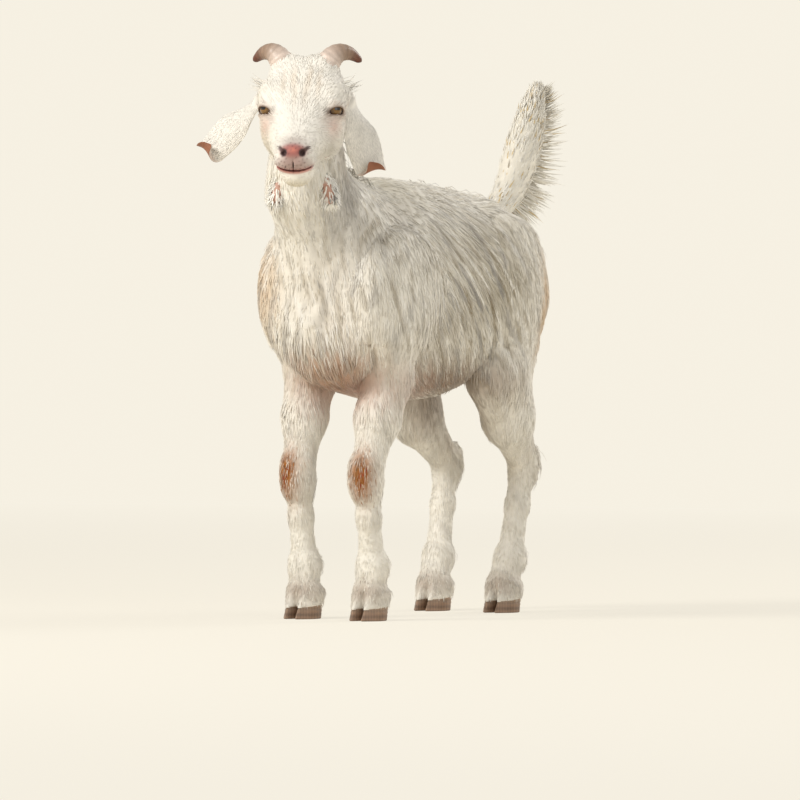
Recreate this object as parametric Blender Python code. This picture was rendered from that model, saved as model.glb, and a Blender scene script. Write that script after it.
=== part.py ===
"""A standing goat, jointed where the animal bends.

Metres, +Z up. The goat faces -Y and its left side is +X. Each body part is a closed solid of its own, hung
on its neighbour by a pin. The origin is on the ground, under the middle of the whole goat's box.
"""

import math

import bmesh
import bpy
from mathutils import Matrix, Vector

BOX_MIDDLE = (0.0, -0.0132)  # the middle of the box in X and Y, from under the goat's own middle plane

GAP = 0.0005  # clearance between pieces that touch, seat or turn in each other
THROUGH = 0.2000  # long enough for a bore or a slot to pass right through any piece
LIMB_PIN_RADIUS = 0.0035
BODY_PIN_RADIUS = 0.0060
CLEAR_OF_JOINT = 1.55  # a limb's full width begins this far from its joint, in knuckle radii
TONGUE_SHARE = 0.36  # of a joint's half width, taken by the tongue between the fork's cheeks
LIMB_SIDES = 12
BODY_SIDES = 20

# Torso sections, breast to rump: place along Y, top, bottom, half width
TORSO_SECTIONS = [
    (-0.243, 0.452, 0.385, 0.030),
    (-0.232, 0.484, 0.345, 0.058),
    (-0.200, 0.518, 0.312, 0.084),
    (-0.150, 0.530, 0.298, 0.098),
    (-0.095, 0.566, 0.290, 0.106),
    (-0.010, 0.570, 0.284, 0.115),
    (0.070, 0.562, 0.292, 0.117),
    (0.140, 0.553, 0.318, 0.108),
    (0.195, 0.538, 0.360, 0.086),
    (0.226, 0.510, 0.400, 0.052),
    (0.236, 0.480, 0.430, 0.022),
]
SIDE_PLANE = 0.0500  # the upper legs lie outside this, on either side of the middle plane
POCKET_DEPTH = 0.0030  # how far the torso's pockets go inside that plane
POCKET_CLEARANCE = 0.0060
LEG_PIN_DEPTH = 0.0250  # how far the bores of the upper legs' pins go into the torso from its pockets
ELBOW_ROOM = ((0.0330, -0.300, 0.200), (0.200, -0.030, 0.372))
FLANK_ROOM = ((0.0470, 0.000, 0.200), (0.200, 0.300, 0.420))

# Leg joints of the left side: out from the middle plane, along Y, up
SHOULDER = (0.0790, -0.150, 0.430)
ELBOW = (0.0580, -0.140, 0.315)
KNEE = (0.0545, -0.176, 0.187)
FORE_FETLOCK = (0.0515, -0.162, 0.071)
HIP = (0.0790, 0.145, 0.445)
STIFLE = (0.0790, 0.110, 0.320)
HOCK = (0.0560, 0.232, 0.200)
HIND_FETLOCK = (0.0520, 0.204, 0.072)
HOOF_OUT = 0.0500
FORE_HOOF_Y = -0.175
HIND_HOOF_Y = 0.180
LEFT_KNEE_LEAD = 0.010  # the left knee stands forward of the right
RIGHT_HIND_LEAD = 0.012  # the right hind leg stands forward of the left

# Half width across the body and half depth along the leg's plane
SHOULDER_LOBE = (0.0270, 0.0840)
HIP_LOBE = (0.0310, 0.0860)
ELBOW_SIZE = (0.0230, 0.0270)
FOREARM_SIZE = (0.0225, 0.0265)
KNEE_SIZE = (0.0190, 0.0195)
STIFLE_SIZE = (0.0260, 0.0330)
SHANK_SIZE = (0.0230, 0.0300)
HOCK_SIZE = (0.0180, 0.0200)
CANNON_SIZE = (0.0135, 0.0150)
FETLOCK_SIZE = (0.0175, 0.0175)
CORONET_SIZE = (0.0220, 0.0200)
CORONET_HEIGHT = 0.0100

# Two claws to a foot, one on either side of the cleft
CLAW_HEIGHT = 0.0360
CLAW_HALF_WIDTH = 0.0110
CLAW_HALF_LENGTH = 0.0250
CLAW_TOP_HALF_LENGTH = 0.0175
CLAW_SLOPE = 0.0095  # the top lies this far behind the sole
CLEFT_HALF_WIDTH = 0.0012

# The neck leans forward from its hinge between the shoulders
NECK_HINGE = (0.0, -0.160, 0.455)
NECK_LEAN = math.radians(40)
NECK_KNUCKLE_RADIUS = 0.0400
NECK_TONGUE_HALF = 0.0180
NECK_CLEAR = 0.0825  # the neck's full width begins this far from its hinge
NECK_SEAM = 0.1400  # the flat seam on which the upper neck turns
NECK_SIZE = (0.0500, 0.0600)
SEAM_RADIUS = 0.0490
TURN_POST_RADIUS = 0.0100
TURN_POST_HALF_LENGTH = 0.0220
HEAD_YAW = math.radians(24)

# Head, measured from the poll where it nods: forward, out, up
POLL_Y = -0.268
POLL_Z = 0.636
POLL_KNUCKLE_RADIUS = 0.0170
POLL_TONGUE_HALF = 0.0120
POLL_CLEAR = 0.0350
POLL_PIN_HALF_LENGTH = 0.0300
THROAT_SIZE = (0.0320, 0.0300)
# Skull sections: forward, up, half width, half height
SKULL_SECTIONS = [
    (-0.034, 0.052, 0.0200, 0.016),
    (-0.028, 0.048, 0.0380, 0.034),
    (0.000, 0.041, 0.0490, 0.053),
    (0.030, 0.035, 0.0550, 0.060),
    (0.058, 0.018, 0.0520, 0.050),
    (0.085, -0.002, 0.0400, 0.036),
    (0.112, -0.020, 0.0285, 0.026),
    (0.133, -0.032, 0.0245, 0.020),
    (0.144, -0.036, 0.0150, 0.011),
]
# Jaw sections from the hinge down and along to the chin: forward, up, half width, half depth
JAW_SECTIONS = [
    (0.058, -0.0065, 0.0150, 0.0050),
    (0.058, -0.0090, 0.0190, 0.0080),
    (0.058, -0.0160, 0.0200, 0.0100),
    (0.060, -0.0320, 0.0215, 0.0115),
    (0.073, -0.0460, 0.0220, 0.0120),
    (0.096, -0.0540, 0.0210, 0.0115),
    (0.116, -0.0595, 0.0185, 0.0095),
    (0.128, -0.0630, 0.0115, 0.0055),
]
JAW_HINGE = (0.058, -0.016)
JAW_PIN_HALF_LENGTH = 0.0360
JAW_ROOM = ((-0.0255, 0.036, -0.100), (0.0255, 0.090, -0.0045))
EYE_AT = (0.060, 0.0410, 0.030)
EYE_RADIUS = 0.0125
# Horn: forward, out, up and radius
HORN_SECTIONS = [
    (0.022, 0.0240, 0.068, 0.0158),
    (0.019, 0.0300, 0.090, 0.0155),
    (0.012, 0.0420, 0.103, 0.0125),
    (0.002, 0.0560, 0.103, 0.0088),
    (-0.007, 0.0700, 0.094, 0.0035),
]
EAR_ROOT = (0.018, 0.0585, 0.044)
EAR_KNUCKLE_RADIUS = 0.0080
EAR_LENGTH = 0.102
EAR_SECTIONS = [
    (0.00, (0.0115, 0.0080), 0.000),
    (0.12, (0.0140, 0.0058), 0.000),
    (0.24, (0.0170, 0.0045), 0.278),
    (0.45, (0.0215, 0.0035), 0.861),
    (0.75, (0.0200, 0.0030), 1.000),
    (0.93, (0.0120, 0.0025), 1.000),
    (1.00, (0.0040, 0.0020), 1.000),
]  # share of the length, half width and half thickness, share of the twist
EAR_TWIST = math.radians(60)  # below its root the leaf turns to face forward
EAR_HANG = {"left": math.radians(24), "right": math.radians(44)}  # out from straight down
WATTLE_DROP = 0.0380  # down the throat from the poll
WATTLE_TURN = math.radians(36)  # out from the middle of the throat
WATTLE_LENGTH = 0.0340
WATTLE_SECTIONS = [(0.00, (0.0060, 0.0060)), (0.35, (0.0072, 0.0072)), (0.80, (0.0085, 0.0085))]

# Tail, from its hinge in the croup: along Y, up, half width, half depth
TAIL_HINGE = (0.0, 0.212, 0.508)
TAIL_SECTIONS = [
    (0.212, 0.508, 0.0180, 0.0130),
    (0.228, 0.5195, 0.0180, 0.0150),
    (0.250, 0.5370, 0.0190, 0.0190),
    (0.285, 0.5640, 0.0260, 0.0270),
    (0.318, 0.6050, 0.0300, 0.0320),
    (0.345, 0.6550, 0.0260, 0.0290),
    (0.362, 0.6950, 0.0150, 0.0170),
    (0.369, 0.7120, 0.0050, 0.0060),
]
TAIL_TONGUE_HALF = 0.0080
TAIL_CLEAR = 0.0300
TAIL_PIN_HALF_LENGTH = 0.0400
TAIL_SLOT = ((-0.0085, 0.192, 0.490), (0.0085, 0.300, 0.600))

HIDE = ("hide", (0.83, 0.78, 0.69), 0.85)
HORN = ("horn", (0.38, 0.26, 0.20), 0.50)
HOOF = ("hoof", (0.30, 0.22, 0.16), 0.55)
EYE = ("eye", (0.42, 0.27, 0.08), 0.10)
FLESH = ("wattle_flesh", (0.72, 0.50, 0.44), 0.60)
STEEL = ("steel_pin", (0.55, 0.55, 0.56), 0.35)

SIDES = {"left": 1, "right": -1}
X_AXIS = Vector((1, 0, 0))
Y_AXIS = Vector((0, 1, 0))
Z_AXIS = Vector((0, 0, 1))
NECK_WAY = Vector((0.0, -math.sin(NECK_LEAN), math.cos(NECK_LEAN)))
TURN = Vector(NECK_HINGE) + NECK_WAY * NECK_SEAM
POLL = Vector((0.0, POLL_Y, POLL_Z))
UPRIGHT = Matrix.Identity(4)
HEAD_FRAME = Matrix.Translation(TURN) @ Matrix.Rotation(HEAD_YAW, 4, "Z") @ Matrix.Translation(-TURN)
TO_BOX_MIDDLE = Matrix.Translation((-BOX_MIDDLE[0], -BOX_MIDDLE[1], 0.0))


def clear_scene():
    for obj in list(bpy.data.objects):
        bpy.data.objects.remove(obj)


def new_collection(name):
    collection = bpy.data.collections.new(name)
    bpy.context.scene.collection.children.link(collection)
    return collection


def material(finish):
    name, colour, roughness = finish
    if name in bpy.data.materials:
        return bpy.data.materials[name]
    made = bpy.data.materials.new(name)
    made.use_nodes = True
    shader = made.node_tree.nodes["Principled BSDF"]
    shader.inputs["Base Color"].default_value = (*colour, 1.0)
    shader.inputs["Roughness"].default_value = roughness
    shader.inputs["Metallic"].default_value = 1.0 if finish is STEEL else 0.0
    return made


def to_mesh(name, made):
    bmesh.ops.recalc_face_normals(made, faces=made.faces)
    mesh = bpy.data.meshes.new(name)
    made.to_mesh(mesh)
    made.free()
    return mesh


def ring(centre, direction, across, half_width, half_depth):
    """An ellipse square to direction: its centre and its two half axes, the first one along across."""
    side = (across - direction * across.dot(direction)).normalized()
    return Vector(centre), side * half_width, direction.cross(side) * half_depth


def loft(name, rings, sides):
    """A closed skin through elliptical rings, with a flat cap at both ends."""
    made = bmesh.new()
    loops = []
    for index, (centre, half_u, half_v) in enumerate(rings):
        frame = Matrix((half_u, half_v, half_u.cross(half_v).normalized())).transposed().to_4x4()
        frame.translation = centre
        is_end = index in (0, len(rings) - 1)
        circle = bmesh.ops.create_circle(made, cap_ends=is_end, segments=sides, radius=1.0, matrix=frame)
        loops.append({edge for vert in circle["verts"] for edge in vert.link_edges})
    for low, high in zip(loops, loops[1:]):
        bmesh.ops.bridge_loops(made, edges=list(low | high))
    return to_mesh(name, made)


def path_loft(name, places, sides):
    """A loft along a bent path in one plane that holds the width. Places: point, half width, half depth."""
    rings = []
    for index, (point, half_width, half_depth) in enumerate(places):
        before = places[max(index - 1, 0)][0]
        after = places[min(index + 1, len(places) - 1)][0]
        rings.append(ring(point, (after - before).normalized(), X_AXIS, half_width, half_depth))
    return loft(name, rings, sides)


def box(name, low, high, frame=UPRIGHT):
    """A box between two corners, then moved by frame."""
    low, high = Vector(low), Vector(high)
    made = bmesh.new()
    place = Matrix.Translation((low + high) / 2) @ Matrix.Diagonal((*(high - low), 1.0))
    bmesh.ops.create_cube(made, size=1.0, matrix=frame @ place)
    return to_mesh(name, made)


def rod(name, start, end, radius, sides=16):
    """A round bar with flat ends."""
    way = end - start
    made = bmesh.new()
    frame = Matrix.Translation((start + end) / 2) @ way.to_track_quat("Z", "Y").to_matrix().to_4x4()
    bmesh.ops.create_cone(
        made, cap_ends=True, segments=sides, radius1=radius, radius2=radius, depth=way.length, matrix=frame
    )
    return to_mesh(name, made)


def ball(name, centre, radius, sides=20):
    made = bmesh.new()
    place = Matrix.Translation(centre)
    bmesh.ops.create_uvsphere(made, u_segments=sides, v_segments=sides // 2, radius=radius, matrix=place)
    return to_mesh(name, made)


def cross_rod(name, middle, half_length, radius):
    """A round bar across the body."""
    return rod(name, middle - X_AXIS * half_length, middle + X_AXIS * half_length, radius)


def bore(middle, half_length, radius):
    return cross_rod("bore", middle, half_length, radius + GAP)


def mirrored(point, sign):
    return Vector((point[0] * sign, point[1], point[2]))


def from_poll(forward, out, up):
    """A place on the head, before the head is turned."""
    return POLL + Vector((out, -forward, up))


class Goat:
    """The collections that hold the goat's parts and the cutters that shape them."""

    def __init__(self):
        self.parts = new_collection("standing_goat")
        self.cutters = new_collection("cutters")

    def part(self, mesh, finish, origin, frame=UPRIGHT):
        """A named piece whose object's origin is on the joint that it turns about."""
        mesh.transform(Matrix.Translation(-Vector(origin)))
        mesh.shade_smooth()
        mesh.set_sharp_from_angle(angle=math.radians(40))
        mesh.materials.append(material(finish))
        obj = bpy.data.objects.new(mesh.name, mesh)
        obj.matrix_basis = TO_BOX_MIDDLE @ frame @ Matrix.Translation(origin)
        self.parts.objects.link(obj)
        return obj

    def cut(self, target, *meshes, frame=UPRIGHT):
        """Takes each cutter out of the target."""
        for mesh in meshes:
            tool = bpy.data.objects.new(f"{target.name}_{mesh.name}", mesh)
            tool.matrix_basis = TO_BOX_MIDDLE @ frame
            tool.hide_render = True
            tool.display_type = "WIRE"
            self.cutters.objects.link(tool)
            target.modifiers.new(mesh.name, "BOOLEAN").object = tool


def round_end(radius):
    """Offsets beyond a joint, with the shares of depth and width left there, for a round limb end."""
    steps = []
    for share in (0.96, 0.72):
        bow = math.sqrt(1 - share * share)
        steps.append((share * radius, bow, 0.75 + 0.25 * bow))
    return steps


def limb_rings(start, end, sections, across=X_AXIS, round_tip=True):
    """Rings of a limb between two joints, round at both. Sections: share of the way, (width, depth)."""
    length, direction = (end - start).length, (end - start).normalized()
    (width, depth), (end_width, end_depth) = sections[0][1], sections[-1][1]
    places = [(-offset, width * wide, depth * bow) for offset, bow, wide in round_end(depth)]
    places += [(share * length, *size) for share, size in sections]
    if round_tip:
        for offset, bow, wide in reversed(round_end(end_depth)):
            places.append((length + offset, end_width * wide, end_depth * bow))
    return [ring(start + direction * at, direction, across, wide, deep) for at, wide, deep in places]


def lobe_rings(top, bottom, lobe, end_size, sign):
    """Rings of an upper leg: round about its top joint, flat to the torso, tapering to the next joint."""
    way = Vector((0.0, bottom.y - top.y, bottom.z - top.z))
    length, direction = way.length, way.normalized()
    half_width, radius = lobe
    end_width, end_depth = end_size
    places = []
    for share in (0.97, 0.80, 0.45, 0.0):
        bow = math.sqrt(1 - share * share)
        places.append((-share * radius, half_width * (0.35 + 0.65 * bow), radius * bow, 0.0))
    for share in (0.35, 0.70, 1.0):
        wide = half_width + (end_width - half_width) * share
        deep = radius + (end_depth - radius) * math.sin(share * math.pi / 2)
        places.append((share * length, wide, deep, ((share - 0.35) / 0.65) ** 2))
    for offset, bow, wide in reversed(round_end(end_depth)):
        places.append((length + offset, end_width * wide, end_depth * bow, 1.0))
    rings = []
    for at, wide, deep, drift in places:
        centre = top + direction * at
        beside_torso = (SIDE_PLANE + GAP + wide) * sign
        centre.x = beside_torso + (bottom.x - beside_torso) * drift
        rings.append(ring(centre, direction, X_AXIS, wide, deep))
    return rings


def joint_frame(joint, direction):
    """Sets a box built about the origin on a joint, with its -Z along direction in the plane of the legs."""
    return Matrix.Translation(joint) @ Matrix.Rotation(math.atan2(direction.y, -direction.z), 4, "X")


def fork_slot(joint, direction, size):
    """The slot between a fork's cheeks, at the lower end of a limb that runs along direction."""
    half, reach = size[0] * TONGUE_SHARE + GAP, size[1] * CLEAR_OF_JOINT + GAP
    return box("slot", (-half, -THROUGH, -THROUGH), (half, THROUGH, reach), joint_frame(joint, direction))


def tongue_rooms(joint, direction, half, reach):
    """The two blocks taken off beside a tongue, at the upper end of a limb that runs along direction."""
    frame = joint_frame(joint, direction)
    return [
        box("left_cheek_room", (half, -THROUGH, -reach), (THROUGH, THROUGH, THROUGH), frame),
        box("right_cheek_room", (-THROUGH, -THROUGH, -reach), (-half, THROUGH, THROUGH), frame),
    ]


def limb_tongue(joint, direction, size):
    return tongue_rooms(joint, direction, size[0] * TONGUE_SHARE, size[1] * CLEAR_OF_JOINT)


def make_torso(goat):
    rings = []
    for y, top, bottom, half_width in TORSO_SECTIONS:
        centre = Vector((0.0, y, (top + bottom) / 2))
        rings.append(ring(centre, Y_AXIS, X_AXIS, half_width, (top - bottom) / 2))
    torso = goat.part(loft("torso", rings, 28), HIDE, (0.0, 0.0, 0.43))
    inside = SIDE_PLANE - POCKET_DEPTH
    for sign in SIDES.values():
        for joint, lobe, room in ((SHOULDER, SHOULDER_LOBE, ELBOW_ROOM), (HIP, HIP_LOBE, FLANK_ROOM)):
            middle = mirrored(joint, sign)
            inner_end = Vector((inside * sign, middle.y, middle.z))
            outer_end = inner_end + X_AXIS * THROUGH * sign
            goat.cut(torso, rod("pocket", inner_end, outer_end, lobe[1] + POCKET_CLEARANCE, 32))
            near, far = mirrored(room[0], sign), mirrored(room[1], sign)
            low_x, high_x = sorted((near.x, far.x))
            goat.cut(torso, box("leg_room", (low_x, near.y, near.z), (high_x, far.y, far.z)))
            goat.cut(torso, bore(middle, abs(middle.x) - inside + LEG_PIN_DEPTH, BODY_PIN_RADIUS))
    hinge = Vector(NECK_HINGE)
    half, reach = NECK_TONGUE_HALF + GAP, NECK_KNUCKLE_RADIUS + 2 * GAP
    low = (-half, hinge.y - THROUGH, hinge.z - reach)
    high = (half, hinge.y + reach, hinge.z + THROUGH)
    goat.cut(torso, box("neck_slot", low, high), bore(hinge, THROUGH, BODY_PIN_RADIUS))
    goat.cut(torso, box("tail_slot", *TAIL_SLOT), bore(Vector(TAIL_HINGE), THROUGH, LIMB_PIN_RADIUS))
    goat.part(cross_rod("neck_pin", hinge, SIDE_PLANE - POCKET_DEPTH - GAP, BODY_PIN_RADIUS), STEEL, hinge)


def make_claws(goat, leg, sole):
    """The two horn claws of a foot, flat underneath, their tops set back."""
    for place, side in (("outer", 1), ("inner", -1)):
        outward = side * math.copysign(1.0, sole.x)
        middle = sole + X_AXIS * outward * (CLAW_HALF_WIDTH + CLEFT_HALF_WIDTH)
        waist = (CLAW_HALF_LENGTH + CLAW_TOP_HALF_LENGTH) / 2
        steps = ((0.0, 0.92, CLAW_HALF_LENGTH * 0.95), (0.12, 1.0, CLAW_HALF_LENGTH), (0.6, 1.0, waist))
        rings = []
        for up, wide, half_length in (*steps, (1.0, 0.92, CLAW_TOP_HALF_LENGTH)):
            centre = middle + Y_AXIS * CLAW_SLOPE * up + Z_AXIS * CLAW_HEIGHT * up
            rings.append(ring(centre, Z_AXIS, X_AXIS, CLAW_HALF_WIDTH * wide, half_length))
        goat.part(loft(f"{leg}_{place}_claw", rings, LIMB_SIDES), HOOF, middle)


def make_foot(goat, leg, fetlock, sole):
    """The pastern, from the fetlock down to the flat that the claws sit under."""
    coronet = sole + Y_AXIS * CLAW_SLOPE + Z_AXIS * (CLAW_HEIGHT + GAP)
    direction = (coronet - fetlock).normalized()
    rings = limb_rings(fetlock, coronet, [(0.0, FETLOCK_SIZE)], round_tip=False)
    for height in (CORONET_HEIGHT, 0.0):
        rings.append(ring(coronet + Z_AXIS * height, -Z_AXIS, X_AXIS, *CORONET_SIZE))
    foot = goat.part(loft(f"{leg}_foot", rings, LIMB_SIDES), HIDE, fetlock)
    rooms = tongue_rooms(fetlock, direction, FETLOCK_SIZE[0] * TONGUE_SHARE, FETLOCK_SIZE[1] + 4 * GAP)
    goat.cut(foot, *rooms, bore(fetlock, THROUGH, LIMB_PIN_RADIUS))
    make_claws(goat, leg, sole)


def make_leg(goat, leg, sign, lobe, joints, sizes, swell, names, hoof_y):
    """One leg: an upper lobe, two long limbs and a foot, with a pin at every joint."""
    top, middle, low, fetlock = joints
    middle_size, low_size = sizes
    upper_name, limb_name, joint_names = names
    rings = lobe_rings(top, middle, lobe, middle_size, sign)
    upper = goat.part(loft(f"{leg}_{upper_name}", rings, BODY_SIDES), HIDE, top)
    goat.cut(upper, bore(top, THROUGH, BODY_PIN_RADIUS))
    goat.cut(upper, fork_slot(middle, middle - top, middle_size), bore(middle, THROUGH, LIMB_PIN_RADIUS))

    sections = [(0.0, middle_size), (0.30, swell), (0.74, low_size), (1.0, low_size)]
    limb = goat.part(loft(f"{leg}_{limb_name}", limb_rings(middle, low, sections), LIMB_SIDES), HIDE, middle)
    goat.cut(limb, *limb_tongue(middle, low - middle, middle_size), bore(middle, THROUGH, LIMB_PIN_RADIUS))
    goat.cut(limb, fork_slot(low, low - middle, low_size), bore(low, THROUGH, LIMB_PIN_RADIUS))

    sections = [(0.0, low_size), (0.36, CANNON_SIZE), (0.74, CANNON_SIZE), (1.0, FETLOCK_SIZE)]
    cannon = goat.part(loft(f"{leg}_cannon", limb_rings(low, fetlock, sections), LIMB_SIDES), HIDE, low)
    goat.cut(cannon, *limb_tongue(low, fetlock - low, low_size), bore(low, THROUGH, LIMB_PIN_RADIUS))
    goat.cut(cannon, fork_slot(fetlock, fetlock - low, FETLOCK_SIZE), bore(fetlock, THROUGH, LIMB_PIN_RADIUS))

    make_foot(goat, leg, fetlock, Vector((HOOF_OUT * sign, hoof_y, 0.0)))
    pin_start = SIDE_PLANE - POCKET_DEPTH - LEG_PIN_DEPTH + 4 * GAP
    pin_end = SIDE_PLANE + 2 * lobe[0]
    ends = [Vector((out * sign, top.y, top.z)) for out in (pin_start, pin_end)]
    goat.part(rod(f"{leg}_{joint_names[0]}_pin", *ends, BODY_PIN_RADIUS), STEEL, top)
    for joint, size, name in zip(joints[1:], (middle_size, low_size, FETLOCK_SIZE), joint_names[1:]):
        goat.part(cross_rod(f"{leg}_{name}_pin", joint, size[0] - GAP, LIMB_PIN_RADIUS), STEEL, joint)


def make_legs(goat):
    for side, sign in SIDES.items():
        lead = LEFT_KNEE_LEAD if side == "left" else 0.0
        joints = [mirrored(point, sign) for point in (SHOULDER, ELBOW, KNEE, FORE_FETLOCK)]
        joints[2].y -= lead
        names = ("shoulder", "forearm", ("shoulder", "elbow", "knee", "fetlock"))
        sizes = (ELBOW_SIZE, KNEE_SIZE)
        make_leg(goat, f"fore_{side}", sign, SHOULDER_LOBE, joints, sizes, FOREARM_SIZE, names, FORE_HOOF_Y)

        lead = RIGHT_HIND_LEAD if side == "right" else 0.0
        joints = [mirrored(point, sign) for point in (HIP, STIFLE, HOCK, HIND_FETLOCK)]
        for joint in joints[1:]:
            joint.y -= lead
        names = ("thigh", "shank", ("hip", "stifle", "hock", "fetlock"))
        sizes = (STIFLE_SIZE, HOCK_SIZE)
        make_leg(goat, f"hind_{side}", sign, HIP_LOBE, joints, sizes, SHANK_SIZE, names, HIND_HOOF_Y - lead)


def beside_throat(sign, drop, away):
    """A place in front of the upper neck, this far down the throat and this far outside its skin."""
    down = (TURN - POLL).normalized()
    front = down.cross(X_AXIS)
    throat = 0.95 * POLL_CLEAR
    share = (drop - throat) / ((TURN - POLL).length - throat)
    width, depth = (size + (SEAM_RADIUS - size) * share + away for size in THROAT_SIZE)
    beside = X_AXIS * math.sin(WATTLE_TURN) * width * sign
    return POLL + down * drop + beside + front * math.cos(WATTLE_TURN) * depth


def wattle_ends(sign):
    """A wattle's root, where it hangs on the throat, and the middle of its round tip."""
    root = beside_throat(sign, WATTLE_DROP, WATTLE_SECTIONS[0][1][0] + GAP)
    below = beside_throat(sign, WATTLE_DROP + WATTLE_LENGTH, WATTLE_SECTIONS[-1][1][0] + 2 * GAP)
    return root, root + (below - root).normalized() * WATTLE_LENGTH


def make_neck(goat):
    hinge = Vector(NECK_HINGE)
    knuckle = (NECK_SIZE[0], NECK_KNUCKLE_RADIUS)
    sections = [(0.0, knuckle), (0.95 * NECK_CLEAR / NECK_SEAM, NECK_SIZE), (1.0, (SEAM_RADIUS, SEAM_RADIUS))]
    rings = limb_rings(hinge, TURN, sections, round_tip=False)
    neck = goat.part(loft("neck", rings, BODY_SIDES), HIDE, hinge)
    goat.cut(neck, *tongue_rooms(hinge, NECK_WAY, NECK_TONGUE_HALF, NECK_CLEAR))
    goat.cut(neck, bore(hinge, THROUGH, BODY_PIN_RADIUS))
    half_post = NECK_WAY * TURN_POST_HALF_LENGTH
    half_room = NECK_WAY * (TURN_POST_HALF_LENGTH + GAP)
    post_ends = [TURN - half_post, TURN + half_post]
    post_room = [TURN - half_room, TURN + half_room]
    goat.cut(neck, rod("post_room", *post_room, TURN_POST_RADIUS + GAP))
    goat.part(rod("neck_turn_post", *post_ends, TURN_POST_RADIUS), STEEL, TURN)

    seam_way = HEAD_FRAME.inverted().to_3x3() @ NECK_WAY
    seam_across = HEAD_FRAME.inverted().to_3x3() @ X_AXIS
    down = (TURN - POLL).normalized()
    tongue = (THROAT_SIZE[0], POLL_KNUCKLE_RADIUS)
    thin_share = 0.77 * POLL_CLEAR / (TURN - POLL).length
    rings = limb_rings(POLL, TURN, [(0.0, tongue), (thin_share, tongue)], round_tip=False)
    rings.append(ring(POLL + down * 0.95 * POLL_CLEAR, down, X_AXIS, *THROAT_SIZE))
    rings.append(ring(TURN + seam_way * GAP, -seam_way, seam_across, SEAM_RADIUS, SEAM_RADIUS))
    upper_neck = goat.part(loft("upper_neck", rings, BODY_SIDES), HIDE, TURN, HEAD_FRAME)
    rooms = tongue_rooms(POLL, down, POLL_TONGUE_HALF, POLL_CLEAR)
    goat.cut(upper_neck, *rooms, bore(POLL, THROUGH, LIMB_PIN_RADIUS), frame=HEAD_FRAME)
    goat.cut(upper_neck, rod("post_room", *post_room, TURN_POST_RADIUS + GAP))
    goat.part(cross_rod("poll_pin", POLL, POLL_PIN_HALF_LENGTH, LIMB_PIN_RADIUS), STEEL, POLL, HEAD_FRAME)
    for side, sign in SIDES.items():
        root, tip = wattle_ends(sign)
        rings = limb_rings(root, tip, WATTLE_SECTIONS)
        goat.part(loft(f"wattle_{side}", rings, LIMB_SIDES), FLESH, root, HEAD_FRAME)


def horn_mesh(name, sign, extra):
    places = []
    for forward, out, up, radius in HORN_SECTIONS:
        places.append((from_poll(forward, out * sign, up), radius + extra))
    rings = []
    for index, (point, radius) in enumerate(places):
        before = places[max(index - 1, 0)][0]
        after = places[min(index + 1, len(places) - 1)][0]
        way = (after - before).normalized()
        start = way * extra if index == 0 else Vector()
        rings.append(ring(point - start, way, Y_AXIS, radius, radius))
    return loft(name, rings, LIMB_SIDES)


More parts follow.
